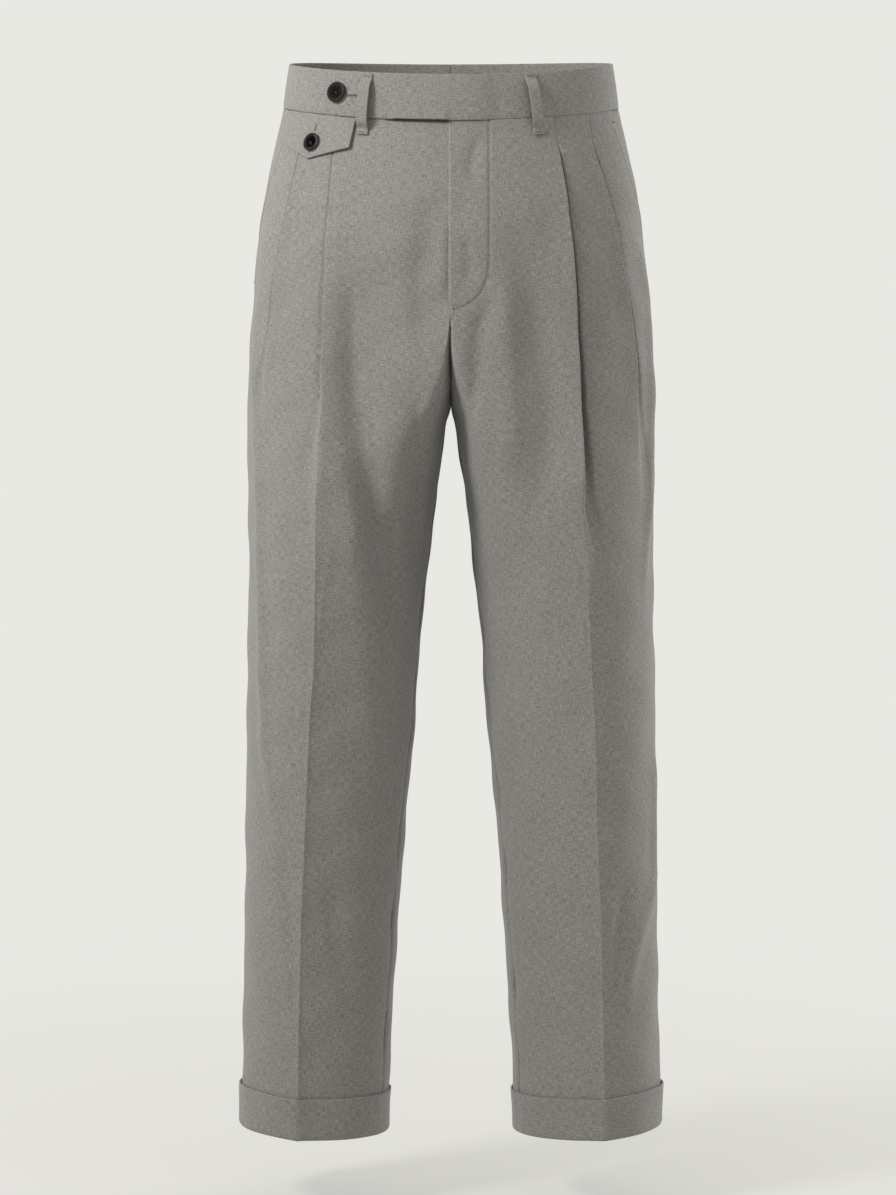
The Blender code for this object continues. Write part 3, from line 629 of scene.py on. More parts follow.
# edge_x: x of the fold. tuck: how far the cloth runs back under it, and less than 0 where it
# has opened out. lift: how far the fold stands out. sink: how far the cloth beside it lies in.
PLEAT_COLUMNS = ("level", "edge_x", "tuck", "lift", "sink")
PLEATS = {
    ("left", 1): named_columns(PLEAT_COLUMNS, (
        (-21, 96.7, 9, 0.15, 0.5), (-51, 101.2, 9, 0.2, 0.6),
        (-66, 103.4, 9, 1.2, 3.6), (-92, 106.4, 9, 2.4, 6.5),
        (-147, 110.8, 8, 4.2, 10), (-215, 115.2, 7, 5.2, 12.5),
        (-290, 118.4, 6, 5.8, 12.5), (-345, 120.6, 5, 5.8, 11),
        (-400, 123.6, 2, 4.8, 6), (-466, 128, -10, 2, 1.2),
        (-545, 130.8, -12, 0, 0), (-635, 136.2, -12, 0, 0),
        (-770, 141, -12, 0, 0), (-1022, 147, -12, 0, 0),
    )),
    ("left", 2): named_columns(PLEAT_COLUMNS, (
        (-21, 130.5, 8, 0.15, 0.5), (-51, 135, 8, 0.2, 0.6),
        (-66, 138.4, 8, 1, 2.4), (-85, 143.2, 8, 2, 5.4),
        (-118, 150.8, 7, 2.8, 8), (-193, 163.4, 7, 3.2, 8.4),
        (-252, 173.4, 6, 2.6, 6), (-288, 177.4, 4, 2, 3.6),
        (-331, 179.4, 0, 1.4, 1.6), (-390, 181, -10, 0.4, 0.4),
        (-466, 180, -10, 0, 0), (-1022, 183, -10, 0, 0),
    )),
    ("right", 1): named_columns(PLEAT_COLUMNS, (
        (-21, 107.5, 9, 0.15, 0.5), (-60, 111.4, 9, 0.4, 1),
        (-118, 114.4, 8, 1.2, 1), (-178, 118, 7, 1.4, 1),
        (-250, 120, 5, 2.4, 1), (-320, 121.5, 0, 5, 1),
        (-379, 123, -12, 5, 0.6), (-430, 125.2, -12, 2.6, 0),
        (-500, 127.4, -12, 0.2, 0), (-545, 128.6, -12, 0, 0),
        (-635, 132.8, -12, 0, 0), (-770, 137, -12, 0, 0),
        (-885, 140.5, -12, 0, 0), (-1022, 145, -12, 0, 0),
    )),
    ("right", 2): named_columns(PLEAT_COLUMNS, (
        (-21, 139.5, 8, 0.15, 0.5), (-60, 144.8, 8, 0.4, 1),
        (-126, 155.5, 8, 2.2, 3), (-186, 165.6, 6, 2.4, 3),
        (-241, 173.2, 4, 1.6, 1.8), (-299, 179.6, -6, 1, 1),
        (-360, 181, -10, 0.4, 0.4), (-466, 180, -10, 0, 0),
        (-1022, 183, -10, 0, 0),
    )),
}
# Levels between which the crease comes to lie on the crown of the leg, and how far it stands
# out, as a share of its common height, above the turn-up.
CREASE_RUNS = {"left": (-640, -760, 0.9), "right": (-940, -1010, 1.35)}
CREASE_CALM_END = -980.0
CREASE_CALM = 60.0
# How much more the very edge of an opened fold and of the crease stands out.
PLEAT_BROW = 0.6
CREASE_BROW = 0.5
CREASE_BROW_WIDTH = 1.3
BROW_FULL = 3.0
# A pleat's slope: its reach, the least share of the room before it, and its power. Then the
# widths of the fold's shoulder and of its curled edge.
PLEAT_RAMP = 26.0
PLEAT_ROOM = 0.4
PLEAT_POWER = 1.4
SHOULDER = 3.0
CURL = 1.0
# Stations across a pleat that has opened out, and its least width.
OPENED = (-SHOULDER, -1.6, -0.7, 0, 0.7, 1.6)
OPENED_WIDTH = 2.4
# How far beside a fold the cloth is back on the outline: a narrow dark line where the pleat
# has just opened, and a soft trough further down, with a share of it flat.
SETTLES = named_columns(("level", "reach"), (
    (-21, 3), (-66, 3.2), (-150, 5), (-240, 7.5), (-345, 12), (-466, 18), (-1022, 18),
))
SETTLE_FLAT = 0.4
# The tuck from which on a pleat counts as folded.
FULL_TUCK = 3.0
# Turned-in edges: depth, way in from the cut edge, and where the cloth is flat again.
TURNED_IN = 2.0
TURN_INSET = 0.35
TURN_FLAT = 0.9
FLY_EDGE = 1.3
FLY_ROLL = 0.9
FLY_ROLL_REACH = 15.0
FLY_ROLL_TOP = BAND_SEAM - 4
FLY_ROLL_EASE = 20.0
FLY_ROLL_FADE = 10.0
# The fly stitching's groove, and the slight pucker outside it.
GROOVE = 0.9
GROOVE_WIDTH = 1.3
GROOVE_HALF = 2.6
GROOVE_ROOM = 4.0
PUCKER = 0.15
PUCKER_PLACE = 3.2
PUCKER_WIDTH = 2.0
PUCKER_END = 8.0
# Path of the fly stitching: it runs down the left front and curves in to the fly's end.
FLY_STITCHES = (
    (-21.5, 35.5), (-182, 35.5), (-192, 35.3), (-203.7, 34.0), (-212, 31.0), (-219.6, 26.9),
    (-225.4, 21.5), (-229.9, 14.8), (-232.6, 7.5), (-233.7, 0.4),
)
STITCHES = named_columns(("level", "arc"), FLY_STITCHES)
# Seat seam: how fast it begins and ends, and how far the cloth stands out along it.
SEAT_SEAM_START = 5.0
SEAT_SEAM_EASE = 10.0
SEAM_RIDGE = 0.45
SEAM_SHOULDER = 0.3
SHOULDER_START = 4.0
SHOULDER_WIDTH = 3.0
# Roll of a front's inner edge, above and below the crotch.
EDGE_ROLLS = (0.8, 0.35)
EDGE_ROLL_END = 0.2
# Where the pocket mouth's folded edge turns into the side seam's.
MOUTH_END = -196.0
MOUTH_EASE = 12.0
# Slit beside the fly, where the tab isn't sewn to the right front, whose edge is drawn in.
SLIT_START = 1.5
SLIT_STOP = 56.5
SLIT_END_EASE = 3.0
SLIT_CURL = 5.0
SLIT_CURL_END = -24.3
SLIT_CURL_EASE = 1.4


def fold_arc(side_name, number, level):
    """Arc of a pleat's fold. The first pleat runs on down into the pressed crease."""
    found = ring(level).arc_of_x(curved(PLEATS[side_name, number], "edge_x", level))
    if number == 2:
        return found
    top, join, _ = CREASE_RUNS[side_name]
    return mix(found, ring(level).crown, ease((top - level) / (top - join)))


def pleat_stations(side_name, number, level, low, high):
    """(arc, lift) over one pleat: up to the fold, back under it, and out again beside it."""
    row = curved_row(PLEATS[side_name, number], level)
    lift = row["lift"]
    sink = row["sink"]
    edge = fold_arc(side_name, number, level)
    under = max(row["tuck"], 0)
    spread = max(-row["tuck"], 0)
    folded = min(under / FULL_TUCK, 1)
    start = max(edge - PLEAT_RAMP, mix(low, edge, PLEAT_ROOM))
    ramp = [
        (mix(start, edge - SHOULDER, share), lift * share ** PLEAT_POWER)
        for share in (0, 0.25, 0.5, 0.75)
    ]
    brow = lift + min(lift / BROW_FULL, 1) * PLEAT_BROW
    root = edge - under
    shut = [
        (edge - SHOULDER, lift),
        (edge - CURL, brow),
        (edge, brow - 0.25 * PLY),
        (edge, brow - 0.75 * PLY),
        (edge - CURL, brow - PLY),
        (edge - under / 2, (lift - sink) / 2),
        (root + CURL, PLY - sink),
        (root, 0.75 * PLY - sink),
        (root, 0.25 * PLY - sink),
        (root + CURL, -sink),
    ]
    wide = max(spread, OPENED_WIDTH)
    opened = []
    for place in (*OPENED, *(mix(OPENED[-1], wide, share) for share in (0.25, 0.5, 0.75, 1))):
        fall = ease((place + SHOULDER) / (wide + SHOULDER))
        opened.append((edge + place, mix(lift, -sink, fall)))
    middle = [tuple(mix(np.array(a), np.array(b), folded)) for a, b in zip(opened, shut)]
    settle = linear(SETTLES, "reach", level)
    beyond = edge + spread + SETTLE_FLAT * settle
    settled = min(beyond + (1 - SETTLE_FLAT) * settle, mix(beyond, high, 0.5))
    run_out = [
        (mix(beyond, settled, share), -sink * (1 - ease(share))) for share in (0, 0.33, 0.67, 1)
    ]
    return ramp + middle + run_out


def even(start, stop, count):
    """Stations without lift, spread evenly after start and before stop."""
    return [(mix(start, stop, (k + 1) / (count + 1)), 0) for k in range(count)]


def behind_fly(arc):
    """Share of the drop that the right front has where the left front lies over it."""
    return 1 - ease((arc - FLY_DROP_FLAT) / FLY_DROP_RAMP)


def stitch_groove(level, arcs):
    """How far the fly stitching draws the cloth in, with a slight pucker outside it."""
    distance, _, beside = nearest_on_path(FLY_STITCHES, level, arcs)
    pucker = PUCKER * np.exp(-((beside - PUCKER_PLACE) / PUCKER_WIDTH) ** 2)
    return pucker * (distance < PUCKER_END) - GROOVE * np.exp(-(distance / GROOVE_WIDTH) ** 2)


def slit_share(across):
    """1 along the slit beside the fly, and 0 elsewhere."""
    opening = ease((across - SLIT_START) / SLIT_END_EASE)
    return opening * ease((SLIT_STOP - across) / SLIT_END_EASE)


def seat_seam(level):
    """1 between the fly and the crotch, where the left and the right meet, and 0 elsewhere."""
    start = ease((FLY_END - level) / SEAT_SEAM_START + 1)
    return start * ease((level - CROTCH) / SEAT_SEAM_EASE + 1)


def front_stations(side_name, level):
    """(arc, lift) of each column of a front, from its inner edge to its side edge."""
    current = ring(level)
    edge = linear(FLY, side_name + "_edge", level)
    corner = max(current.front_corner, FLY_DROP_FLAT)
    stop = current.side - curved(POCKET, "set_back", level) - SEAM_GAP / 2
    folds = [fold_arc(side_name, number, level) for number in (1, 2)]
    between = mix(folds[0], folds[1], 0.5)
    first = pleat_stations(side_name, 1, level, corner, between)
    second = pleat_stations(side_name, 2, level, between, stop)
    meet = seat_seam(level)
    on_leg = ease((CROTCH - level) / SEAT_SEAM_EASE + 1)
    turned = mix(FLY_EDGE, TURNED_IN, on_leg)
    roll = mix(*EDGE_ROLLS, on_leg)
    rolled = edge + 2 * roll + EDGE_ROLL_END
    stations = [
        (edge + TURN_INSET, mix(-turned, SEAM_RIDGE, meet)),
        (edge + roll, mix(-turned / 2, SEAM_RIDGE, meet)),
        (rolled, mix(0, SEAM_SHOULDER, meet)),
    ]
    groove = max(linear(STITCHES, "arc", level), corner + GROOVE_ROOM)
    stations += even(rolled, corner, 2)
    stations += [(corner, 0)]
    stations += even(corner, groove - GROOVE_HALF, 3)
    stations += [(groove + GROOVE_HALF * way, 0) for way in (-1, -0.4, 0, 0.4, 1)]
    stations += even(groove + GROOVE_HALF, first[0][0], 5)
    stations += first
    stations += even(first[-1][0], second[0][0], 1)
    stations += second
    stations += even(second[-1][0], stop - TURN_FLAT, 2)
    turned = mix(PLY, TURNED_IN, ease((MOUTH_END - level) / MOUTH_EASE))
    stations += [(stop - TURN_FLAT, 0)]
    stations += [(stop - TURN_INSET, -turned * share) for share in (0.5, 1)]
    arcs, lifts = np.array(stations).T
    crease = curved(BODIES, "front_crease", level)
    sharpness = mix(1, CREASE_RUNS[side_name][2], ease((level - CREASE_CALM_END) / CREASE_CALM))
    beside = arcs - folds[0]
    lifts += sharpness * crease * np.exp(-np.abs(beside) / CREASE_WIDTH)
    lifts -= crease * np.exp(-np.abs(arcs - current.crown) / CREASE_WIDTH)
    brow = min(crease / BROW_FULL, 1) * CREASE_BROW
    lifts += brow * np.exp(-(beside / CREASE_BROW_WIDTH) ** 2)
    if side_name == "right":
        lifts -= linear(FLY, "right_drop", level) * behind_fly(arcs)
        lifts -= SLIT_CURL * slit_share(arcs) * ease((level - SLIT_CURL_END) / SLIT_CURL_EASE)
    else:
        roll = FLY_ROLL * ease((level - FLY_END) / FLY_ROLL_FADE)
        roll *= ease((FLY_ROLL_TOP - level) / FLY_ROLL_EASE)
        lifts += roll * (1 - ease((arcs - edge) / FLY_ROLL_REACH)) + stitch_groove(level, arcs)
    return rounded(np.array((arcs, lifts)).T)


wool = melange_wool("Melange wool, fine plain weave")
front_levels = spaced(FRONT_MARKS, FRONT_ROWS)
for side_name in SIDES:
    rows = [front_stations(side_name, level) for level in front_levels]
    points = cloth_rows(side_name, front_levels, rows)
    panel = cloth_sheet("front_panel_" + side_name, points, wool, WALL, origin=66)
    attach(panel, "root")
    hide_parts("front_" + side_name)


# Pocket facings: the cloth that shows in the slanted pocket mouths. Each is sewn to the back
# along the side seam and to the band, and lies behind the front's edge.
FACING_END = -214.0
FACING_REACH = 6.0
FACING_DROP = PLY + 0.9
FACING_RISE = 28.0
FACING_COLUMNS = 14
facing_levels = np.linspace(PANEL_TOP, FACING_END, 46)
for side_name in SIDES:
    rows = []
    for level in facing_levels:
        side = ring(level).side
        mouth = side - curved(POCKET, "set_back", level)
        arcs = np.linspace(mouth - FACING_REACH, side - SEAM_GAP / 2, FACING_COLUMNS)
        rise = np.clip((arcs - mouth - FACING_REACH) / FACING_RISE, 0, 1)
        rows.append(np.array((arcs, -FACING_DROP * (1 - rise))).T)
    points = cloth_rows(side_name, facing_levels, rows)
    facing = cloth_sheet("pocket_cloth_" + side_name, points, wool, WALL)
    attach(facing, "root")
    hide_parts("pocket_facing_" + side_name)


# Backs: two plain panels of wool that meet in the seat seam at the centre, with a pressed
# crease down the middle of each leg. All their seam edges are turned in.
BACK_ROWS = 200
# Half the reach of the columns along the crease, and its least way from the inner edge.
BACK_CREASE = 6.0
BACK_ROOM = 22.0


def back_stations(level):
    """(arc, lift) of each column of a back, from the side seam to the seat seam or inseam."""
    current = ring(level)
    start = current.side + SEAM_GAP / 2
    stop = current.length - SEAM_GAP / 2
    crease = min(current.rear, stop - BACK_ROOM)
    marks = (start + TURN_FLAT, crease - BACK_CREASE, crease + BACK_CREASE, stop - TURN_FLAT)
    arcs = spaced(marks, (26, 8, 22))
    meet = seat_seam(level)
    lifts = SEAM_SHOULDER * meet * ease((arcs - stop + SHOULDER_START) / SHOULDER_WIDTH)
    opening = [(start + TURN_INSET, -share * TURNED_IN) for share in (1, 0.5)]
    closing = [
        (stop - TURN_INSET, mix(-share * TURNED_IN, SEAM_RIDGE, meet)) for share in (0.5, 1)
    ]
    return [*opening, *zip(arcs, lifts), *closing]


back_levels = np.linspace(PANEL_TOP, PANEL_END, BACK_ROWS)
for side_name in SIDES:
    rows = [back_stations(level) for level in back_levels]
    points = cloth_rows(side_name, back_levels, rows)
    panel = cloth_sheet("back_panel_" + side_name, points, wool, WALL, origin=28)
    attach(panel, "root")
    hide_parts("back_" + side_name)


# Waistband: two halves of doubled wool over a stiff interfacing, joined at the centre back.
# The left half runs on over the right front as a tab with a pointed end.
BAND_TOP = 21.5
BAND_WALL = 2.0
BAND_LIFT = 0.45
BAND_PLY = BAND_WALL + 2.5 * SEAM_GAP
TAB_REACH = 133.0
TAB_POINT = 23.0
TAB_RAMP_START = 22.0
TAB_RAMP = 26.0
BAND_UNDERLAP = 12.0
BAND_ROWS = 17
TAB_BEND = -100.0
BAND_CROWN = 0.25
# The band's lower edge is drawn down onto the panels, apart from the slit by the fly.
BAND_PRESS = 0.7
TAB_PRESS = 1.3
SLIT_SINK = 4.0
SLIT_RISE = 1.1


def soft_edges(piece, width):
    """Round the rims that the wall leaves."""
    rim = piece.modifiers.new("Rim", "BEVEL")
    rim.affect = "EDGES"
    rim.width = width * MM
    rim.segments = 2
    rim.limit_method = "ANGLE"
    rim.angle_limit = math.radians(50)


band_levels = np.linspace(BAND_SEAM - 0.2, BAND_TOP, BAND_ROWS)
shares = np.linspace(0, 1, BAND_ROWS)
for side_name in SIDES:
    rows = []
    gaps = []
    for level, share in zip(band_levels, shares):
        stop = ring(level).length - SEAM_GAP / 2
        if side_name == "left":
            tip = -TAB_REACH + TAB_POINT * abs(2 * share - 1)
            arcs = spaced((tip, TAB_BEND, TAB_REACH, stop), (15, 109, 89))
            over = 1 - ease((arcs - TAB_RAMP_START) / TAB_RAMP)
        else:
            arcs = spaced((-BAND_UNDERLAP, TAB_REACH, stop), (69, 89))
            over = 0 * arcs
        crosswise = np.abs(arcs) if side_name == "right" else -arcs
        gap = slit_share(crosswise)
        crown = BAND_CROWN * (1 - (2 * share - 1) ** 2)
        lift = BAND_LIFT + BAND_PLY * over + crown
        low = (1 - share) ** 4
        if side_name == "left":
            lift -= (BAND_PRESS + TAB_PRESS * over) * low * (1 - gap)
        else:
            lift -= BAND_PRESS * low + SLIT_SINK * gap * (1 - share) ** 1.5
        rows.append(np.array((arcs, lift)).T)
        gaps.append(gap)
    points = cloth_rows(side_name, band_levels, rows)
    rise = SLIT_RISE if side_name == "left" else 2 * SLIT_RISE
    points[..., 2] += rise * MM * np.array(gaps) * (1 - shares[:, None]) ** 3
    band = cloth_sheet(
        "waistband_cloth_" + side_name, points, wool, BAND_WALL,
        origin=15 if side_name == "left" else 69,
    )
    soft_edges(band, 0.6)
    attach(band, "root")
    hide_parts("waistband_" + side_name)


# Coin pocket flap: a small five-sided flap of doubled wool under the band on the wearer's
# right. It hangs over the pleats and is held down by a button.
FLAP = named_columns(("across", "top_arc", "bottom_arc", "drop"), (
    (0, 91.5, 97.3, 29),
    (0.56, 145, 145, 44.5),
    (1, 187.4, 192.6, 26),
))
FLAP_ROWS = 23
FLAP_COLUMNS = 51
FLAP_WALL = 1.2
FLAP_LIFT = 2.4
FLAP_TOP = BAND_SEAM - SEAM_GAP - 0.5
# How far its corner towards the front curls up and its upper edge is held down, and how fast
# both fade.
FLAP_CURL = 2.0
CURL_FADE = 1.8
FLAP_PRESS = 0.5
PRESS_FADE = 4.0
points = np.zeros((FLAP_ROWS, FLAP_COLUMNS, 3))
for column, across in enumerate(np.linspace(0, 1, FLAP_COLUMNS)):
    _, top, bottom, drop = (
        float(np.interp(across, FLAP["across"], values)) for values in FLAP.values()
    )
    for row, down in enumerate(np.linspace(0, 1, FLAP_ROWS)):
        curl = FLAP_CURL * down * ease(1 - CURL_FADE * across)
        lift = FLAP_LIFT + curl - FLAP_PRESS * ease(1 - PRESS_FADE * down)
        spot = [(mix(top, bottom, down), lift)]
        points[row, column] = cloth_rows("right", [FLAP_TOP - drop * down], [spot])[0, 0]
flap = cloth_sheet("coin_pocket_flap_cloth", points, wool, FLAP_WALL, origin=28)
soft_edges(flap, 0.4)
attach(flap, "root")
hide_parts("coin_pocket_flap")


# Turn-ups: each leg's lower end is folded up outside itself by 40 mm and caught at the seams,
# so its upper edge stands a little off the leg.
CUFF_HEIGHT = 40.0
CUFF_WALL = 1.6
CUFF_LIFT = 0.5 + SEAM_GAP + CUFF_WALL / 2
# Dents at the seams, and waves of the upper edge.
CUFF_DENT = 0.5
CUFF_DENT_WIDTH = 1.6
CUFF_FLARE = 0.5
# Rows from the upper edge down and in under the leg: height over the hem, and lift.
CUFF_PROFILE = (
    (40.0, CUFF_LIFT + 0.8),
    (38.0, CUFF_LIFT + 0.8),
    (32.0, CUFF_LIFT + 0.5),
    (24.0, CUFF_LIFT + 0.2),
    (14.0, CUFF_LIFT),
    (6.0, CUFF_LIFT),
    (2.4, CUFF_LIFT),
    (1.1, CUFF_LIFT - 0.5),
    (0.8, 0.0),
    (1.1, 0.5 - CUFF_LIFT),
    (3.0, -CUFF_LIFT),
)
for side_name in SIDES:
    levels = [HEM + rise for rise, _ in CUFF_PROFILE]
    rows = []
    for level, (rise, lift) in zip(levels, CUFF_PROFILE):
        current = ring(level)
        marks = (0.0, current.crown, current.side, current.rear, current.length)
        arcs = spaced(marks, (33, 33, 33, 33))
        dents = sum(np.exp(-((arcs - seam) / CUFF_DENT_WIDTH) ** 2) for seam in marks[::2])
        waves = np.sin(arcs / 17.0 + 1.0) * np.sin(arcs / 41.0)
        flare = CUFF_FLARE * (rise / CUFF_HEIGHT) ** 3 * waves
        rows.append(np.array((arcs, lift - CUFF_DENT * dents + flare)).T)
    points = cloth_rows(side_name, levels, rows)
    points[:, -1] = points[:, 0]
    cuff = cloth_sheet("turn_up_" + side_name, points, wool, CUFF_WALL)
    mesh = bmesh.new()
    mesh.from_mesh(cuff.data)
    bmesh.ops.remove_doubles(mesh, verts=mesh.verts, dist=0.01 * MM)
    mesh.to_mesh(cuff.data)
    mesh.free()
    soft_edges(cuff, 0.4)
    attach(cuff, "root")
    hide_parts("cuff_" + side_name)


# Belt loops: five straps of wool folded to 10.5 mm, turned under at both ends and tacked down
# on the band and below it, with room for a belt behind them.
LOOP_WIDTH = 10.5
LOOP_WALL = 1.4
BELT_GAP = 5.6
LOOP_SLACK = 0.6
PANEL_FACE = 0.55
LOOP_TOP = 20.8
LOOP_END = -37.0
# Level, what is under the loop, and share of the belt's gap by which it stands off.
LOOP_SHAPE = (
    (LOOP_TOP, "band", 0.0),
    (15.8, "band", 0.02),
    (12.8, "band", 0.6),
    (7.8, "band", 1.0),
    (-13.0, "band", 1.0),
    (-24.0, "panel", 0.75),
    (-30.0, "panel", 0.12),
    (-32.0, "panel", 0.015),
    (LOOP_END, "panel", 0.0),
)
LOOP_COLUMNS = 9
# Name, side, arcs of the upper and the lower end, and plies of the tab under it.
LOOPS = (
    ("belt_loop_front_right", "right", 79.0, 85.0, 1),
    ("belt_loop_front_left", "left", 75.0, 84.0, 0),
    ("belt_loop_back_right", "right", 295.0, 300.0, 0),
    ("belt_loop_back_left", "left", 295.0, 300.0, 0),
    ("belt_loop_centre_back", "left", None, None, 0),
)


def loop_seats(plies, share):
    """Lifts on the band and on the panels of a share of a loop's thickness."""
    on_band = BAND_LIFT + BAND_WALL / 2 + plies * BAND_PLY + SEAM_GAP + LOOP_WALL * share
    return {"band": on_band, "panel": PANEL_FACE + SEAM_GAP + LOOP_WALL * share + LOOP_SLACK}


for name, side_name, top_arc, bottom_arc, plies in LOOPS:
    seats = loop_seats(plies, 0.5)
    profile = rounded([
        (level, mix(seats[seat], seats["band"] + BELT_GAP, out)) for level, seat, out in LOOP_SHAPE
    ])
    points = np.zeros((len(profile), LOOP_COLUMNS, 3))
    for row, (level, lift) in enumerate(profile):
        share = (LOOP_TOP - level) / (LOOP_TOP - LOOP_END)
        across = np.linspace(-0.5, 0.5, LOOP_COLUMNS) * LOOP_WIDTH
        if top_arc is None:
            middle = cloth_rows("left", [level], [[(ring(level).length, lift)]])[0, 0]
            points[row] = middle
            points[row, :, 0] = across * MM
        else:
            arcs = mix(top_arc, bottom_arc, share) + across
            points[row] = cloth_rows(side_name, [level], [[(arc, lift) for arc in arcs]])[0]
    strap = cloth_sheet(name + "_strap", points, wool, LOOP_WALL)
    soft_edges(strap, 0.45)
    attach(strap, "root")
    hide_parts(name)


# Buttons: four-hole buttons turned from near-black horn, with a raised rim that is polished and
# a face that has worn matt.
# Radius of each, and the shares of it between which the polish sets in.
BUTTONS = (("waist_button", 10.0), ("flap_button", 9.0))
POLISH_START = 0.62
POLISH_FULL = 0.74


def turned_horn(name, middle, radius):
    """Dark streaky horn: matt inside, with the sharp light of a polish on the rim."""
    material, tree = new_material(name)
    place = add_node(tree, "TexCoord").outputs["Object"]
    streaks = add_node(
        tree, "TexNoise", {"Scale": 260.0, "Detail": 3.0, "Distortion": 1.5}, {"Vector": place},
    )
    shade = shade_ramp(tree, ((0.4, "#060505"), (0.8, "#161411")), streaks.outputs["Fac"])
    reach = add_node(
        tree, "VectorMath", {1: middle}, {0: place}, operation="DISTANCE",
    ).outputs["Value"]
    shine = add_node(
        tree, "MapRange",
        {"From Min": POLISH_START * radius, "From Max": POLISH_FULL * radius,
         "To Min": 0.006, "To Max": 0.3},
        {"Value": reach},
    )
    shader = add_node(
        tree, "BsdfPrincipled", {"Roughness": 0.26, "IOR": 1.54},
        {"Base Color": shade, "Specular IOR Level": shine.outputs["Result"]},
    )
    set_surface(tree, shader.outputs["BSDF"])
    return material


for name, radius in BUTTONS:
    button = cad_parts[name]
    corners = [corner.co for corner in button.data.vertices]
    middle = sum(corners, Vector()) / len(corners)
    button.data.materials.clear()
    button.data.materials.append(turned_horn("Near-black horn, " + name, middle, radius * MM))


# Thread: twisted polyester in the wool's grey for the seams, and near-black for the buttons.
# The near-black is also laid along each buttonhole's slit as painted shade for the dark of the
# cut. Real stitches are 0.3 mm thick, and are drawn a little thicker here, so that they show.
THREAD_THICKNESS = 0.55


def spun_thread(name, code):
    """Matt thread whose twist shows as fine slanting bands, 0.8 mm apart."""
    material, tree = new_material(name)
    place = add_node(tree, "TexCoord")
    twist = add_node(
        tree, "TexWave", {"Scale": 1250.0 / 6.28, "Distortion": 0.5},
        {"Vector": place.outputs["Object"]}, bands_direction="DIAGONAL",
    )
    relief = add_node(
        tree, "Bump", {"Strength": 0.3, "Distance": 0.0001}, {"Height": twist.outputs["Fac"]},
    )
    shader = add_node(
        tree, "BsdfPrincipled", {"Base Color": srgb(code), "Roughness": 0.6},
        {"Normal": relief.outputs["Normal"]},
    )
    set_surface(tree, shader.outputs["BSDF"])
    return material


grey_thread = spun_thread("Grey polyester thread", "#625f5b")
# Near-black: the buttons' thread, and the painted shade along each buttonhole's slit.
black_thread_and_slit_shade = spun_thread("Near-black polyester thread and painted slit shade", "#0e0d0d")


def cloth_spot(side_name, level, arc, lift):
    """One point on the cloth, in metres."""
    return Vector(cloth_rows(side_name, [level], [[(arc, lift)]])[0, 0])


def sew(mesh, side_name, start, end, lift, thickness=THREAD_THICKNESS):
    """One stitch between two places (level, arc), as a slim form with pointed ends."""
    first = cloth_spot(side_name, *start, lift)
    last = cloth_spot(side_name, *end, lift)
    middle = [mix(a, b, 0.5) for a, b in zip(start, end)]
    out = cloth_spot(side_name, *middle, lift + 1) - cloth_spot(side_name, *middle, lift)
    along = (last - first).normalized()
    out = (out - along * out.dot(along)).normalized()
    half = thickness / 2 * MM
    turn = Matrix((along * (last - first).length / 2, out.cross(along) * half, out * half))
    turn = turn.transposed().to_4x4()
    turn.translation = (first + last) / 2
    bmesh.ops.create_icosphere(mesh, subdivisions=1, radius=1, matrix=turn)


def stitch_line(mesh, side_name, path, lift, pitch=3.1, length=2.3):
    """Stitches spread along a path of (level, arc)."""
    path = np.array(path, dtype=float)
    passed = np.concatenate(([0], np.cumsum(np.hypot(*np.diff(path, axis=0).T))))
    count = int(passed[-1] / pitch)
    for number in range(count):
        begin = (number + 0.5) * passed[-1] / count - length / 2
        ends = [
            (float(np.interp(way, passed, path[:, 0])), float(np.interp(way, passed, path[:, 1])))
            for way in (begin, begin + length)
        ]
        sew(mesh, side_name, *ends, lift)


def bar_tack(mesh, side_name, level, arc, lift, width=6.0, rows=4, spread=1.6):
    """Dense little block of cross stitches that holds an end down."""
    for row in range(rows):
        down = spread * (row / (rows - 1) - 0.5)
        sew(mesh, side_name, (level + down, arc - width / 2), (level + down, arc + width / 2), lift)


# Fly stitching: one row that runs down the left front beside the fly and curves to its end,
# where a short bar tack holds it.
FLY_TACK = (-233.9, 2.0)
mesh = bmesh.new()
stitch_line(mesh, "left", FLY_STITCHES, WALL / 2 - 0.15)
bar_tack(mesh, "left", *FLY_TACK, WALL / 2 + 0.2, width=3.4, rows=3, spread=1.0)

# Pocket stitching: a row 6 mm behind the edge of each slanted pocket mouth, with a bar tack at
# both of its ends.
POCKET_STITCH_REACH = 6.0
POCKET_STITCH_LEVELS = np.linspace(-36, -196, 12)
for side_name in SIDES:
    path = []
    for level in POCKET_STITCH_LEVELS:
        mouth = ring(level).side - curved(POCKET, "set_back", level)
        path.append((level, mouth - POCKET_STITCH_REACH))
    stitch_line(mesh, side_name, path, WALL / 2 + 0.1)
    for level, arc in (path[0], path[-1]):
        bar_tack(mesh, side_name, level + 3, arc + 3, WALL / 2 + 0.3)
seams = new_piece("seam_stitches", mesh, grey_thread)
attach(seams, "root")
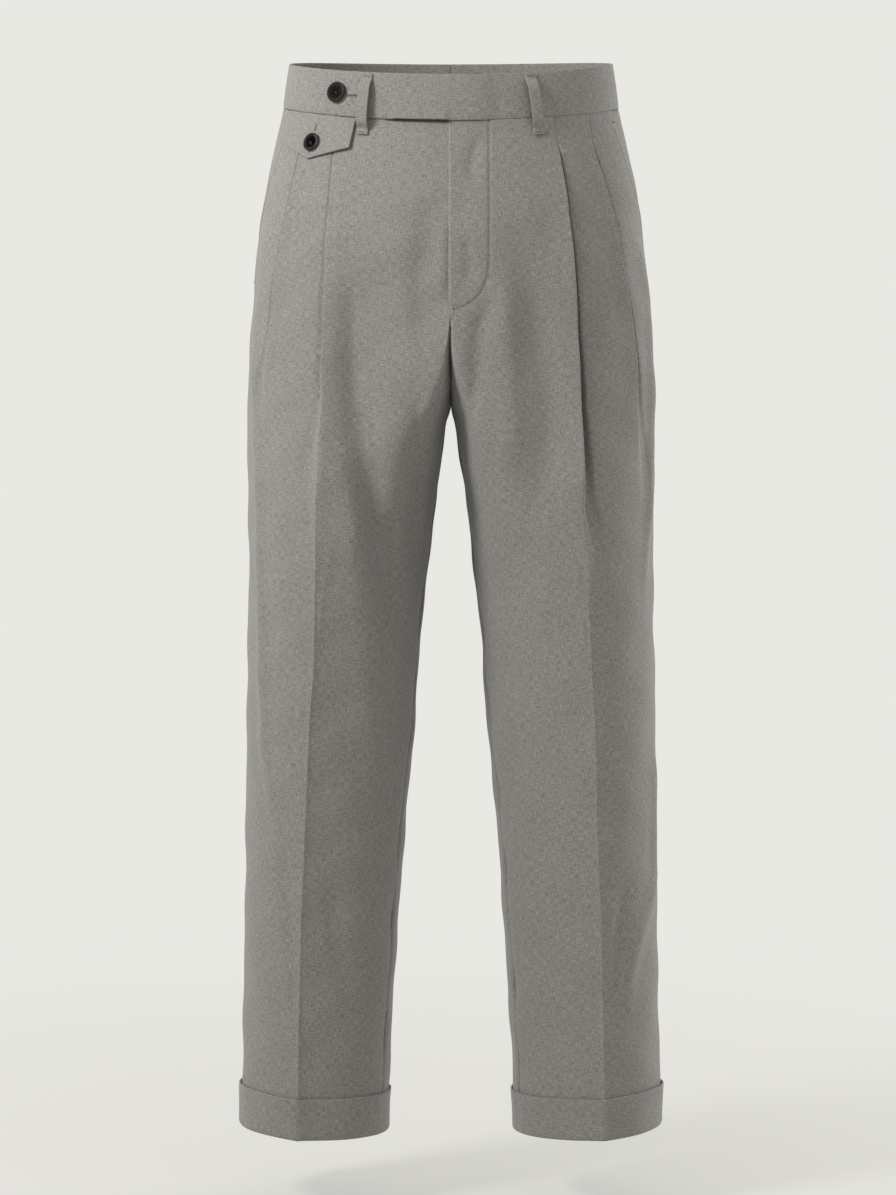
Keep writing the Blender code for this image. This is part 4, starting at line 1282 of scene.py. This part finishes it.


# Buttonholes: a slit edged with close purl stitches, on the tab and on the flap. Along each slit
# lies a near-black strip of painted shade, for the dark of the cut.
# Side, start and end (level, arc), lift and number of purls on each edge.
BUTTONHOLES = (
    ("right", (-0.7, 101.6), (-0.7, 85.6), BAND_LIFT + BAND_PLY + BAND_WALL / 2 + 0.2, 18),
    ("right", (-29.8, 134.5), (-38.8, 137.2), FLAP_LIFT + 0.6, 11),
)
# Thickness of the near-black strips: the painted slit shade and the button threads.
SLIT_THICKNESS = 0.9
PURL_THICKNESS = 0.6
# How far from the slit's middle each purl begins and ends.
PURL_REACH = (0.35, 1.7)
slit_shade_and_black_threads = bmesh.new()
purls = bmesh.new()
for side_name, start, end, lift, count in BUTTONHOLES:
    # Painted shade: a near-black strip along the slit stands for the dark of the cut.
    sew(slit_shade_and_black_threads, side_name, start, end, lift, SLIT_THICKNESS)
    run = np.array(end) - np.array(start)
    across = np.array((-run[1], run[0])) / np.hypot(*run)
    for number in range(count):
        middle = np.array(start) + run * (number + 0.5) / count
        for edge in (-1, 1):
            ends = [tuple(map(float, middle + across * edge * reach)) for reach in PURL_REACH]
            sew(purls, side_name, *ends, lift, PURL_THICKNESS)
edging = new_piece("buttonhole_edging", purls, grey_thread)
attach(edging, "root")


# Button threads: a cross of near-black thread through the four holes of each button, whose face
# is 2.4 mm above what it is sewn to.
HOLE_REACH = 2.0
BUTTON_FACE = 2.4
BUTTON_THREADS = (
    ("right", 1.2, 110.5, BAND_LIFT + BAND_WALL / 2 + BAND_PLY + SEAM_GAP + BUTTON_FACE),
    ("right", -49.0, 139.0, FLAP_LIFT + PANEL_FACE + SEAM_GAP + BUTTON_FACE),
)
for side_name, level, arc, lift in BUTTON_THREADS:
    for rise in (-1, 1):
        ends = [(level + way * rise * HOLE_REACH, arc + way * HOLE_REACH) for way in (-1, 1)]
        sew(slit_shade_and_black_threads, side_name, *ends, lift, SLIT_THICKNESS)
# The button threads and the painted shade of the buttonholes share one near-black piece.
slit_shade_and_button_threads = new_piece("button_threads_and_painted_slit_shade", slit_shade_and_black_threads, black_thread_and_slit_shade)
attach(slit_shade_and_button_threads, "root")


# Belt loop stitching: a bar tack over the upper end of each loop and one over its lower end.
TACK_LEVELS = ((18.4, "band"), (-34.6, "panel"))
tacks = bmesh.new()
for _, side_name, top_arc, bottom_arc, plies in LOOPS:
    for level, seat in TACK_LEVELS:
        lift = loop_seats(plies, 1)[seat] + 0.1
        share = (LOOP_TOP - level) / (LOOP_TOP - LOOP_END)
        arc = ring(level).length if top_arc is None else mix(top_arc, bottom_arc, share)
        bar_tack(tacks, side_name, level, arc, lift, width=8.6, rows=3, spread=1.0)
loop_tacks = new_piece("belt_loop_tacks", tacks, grey_thread)
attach(loop_tacks, "root")
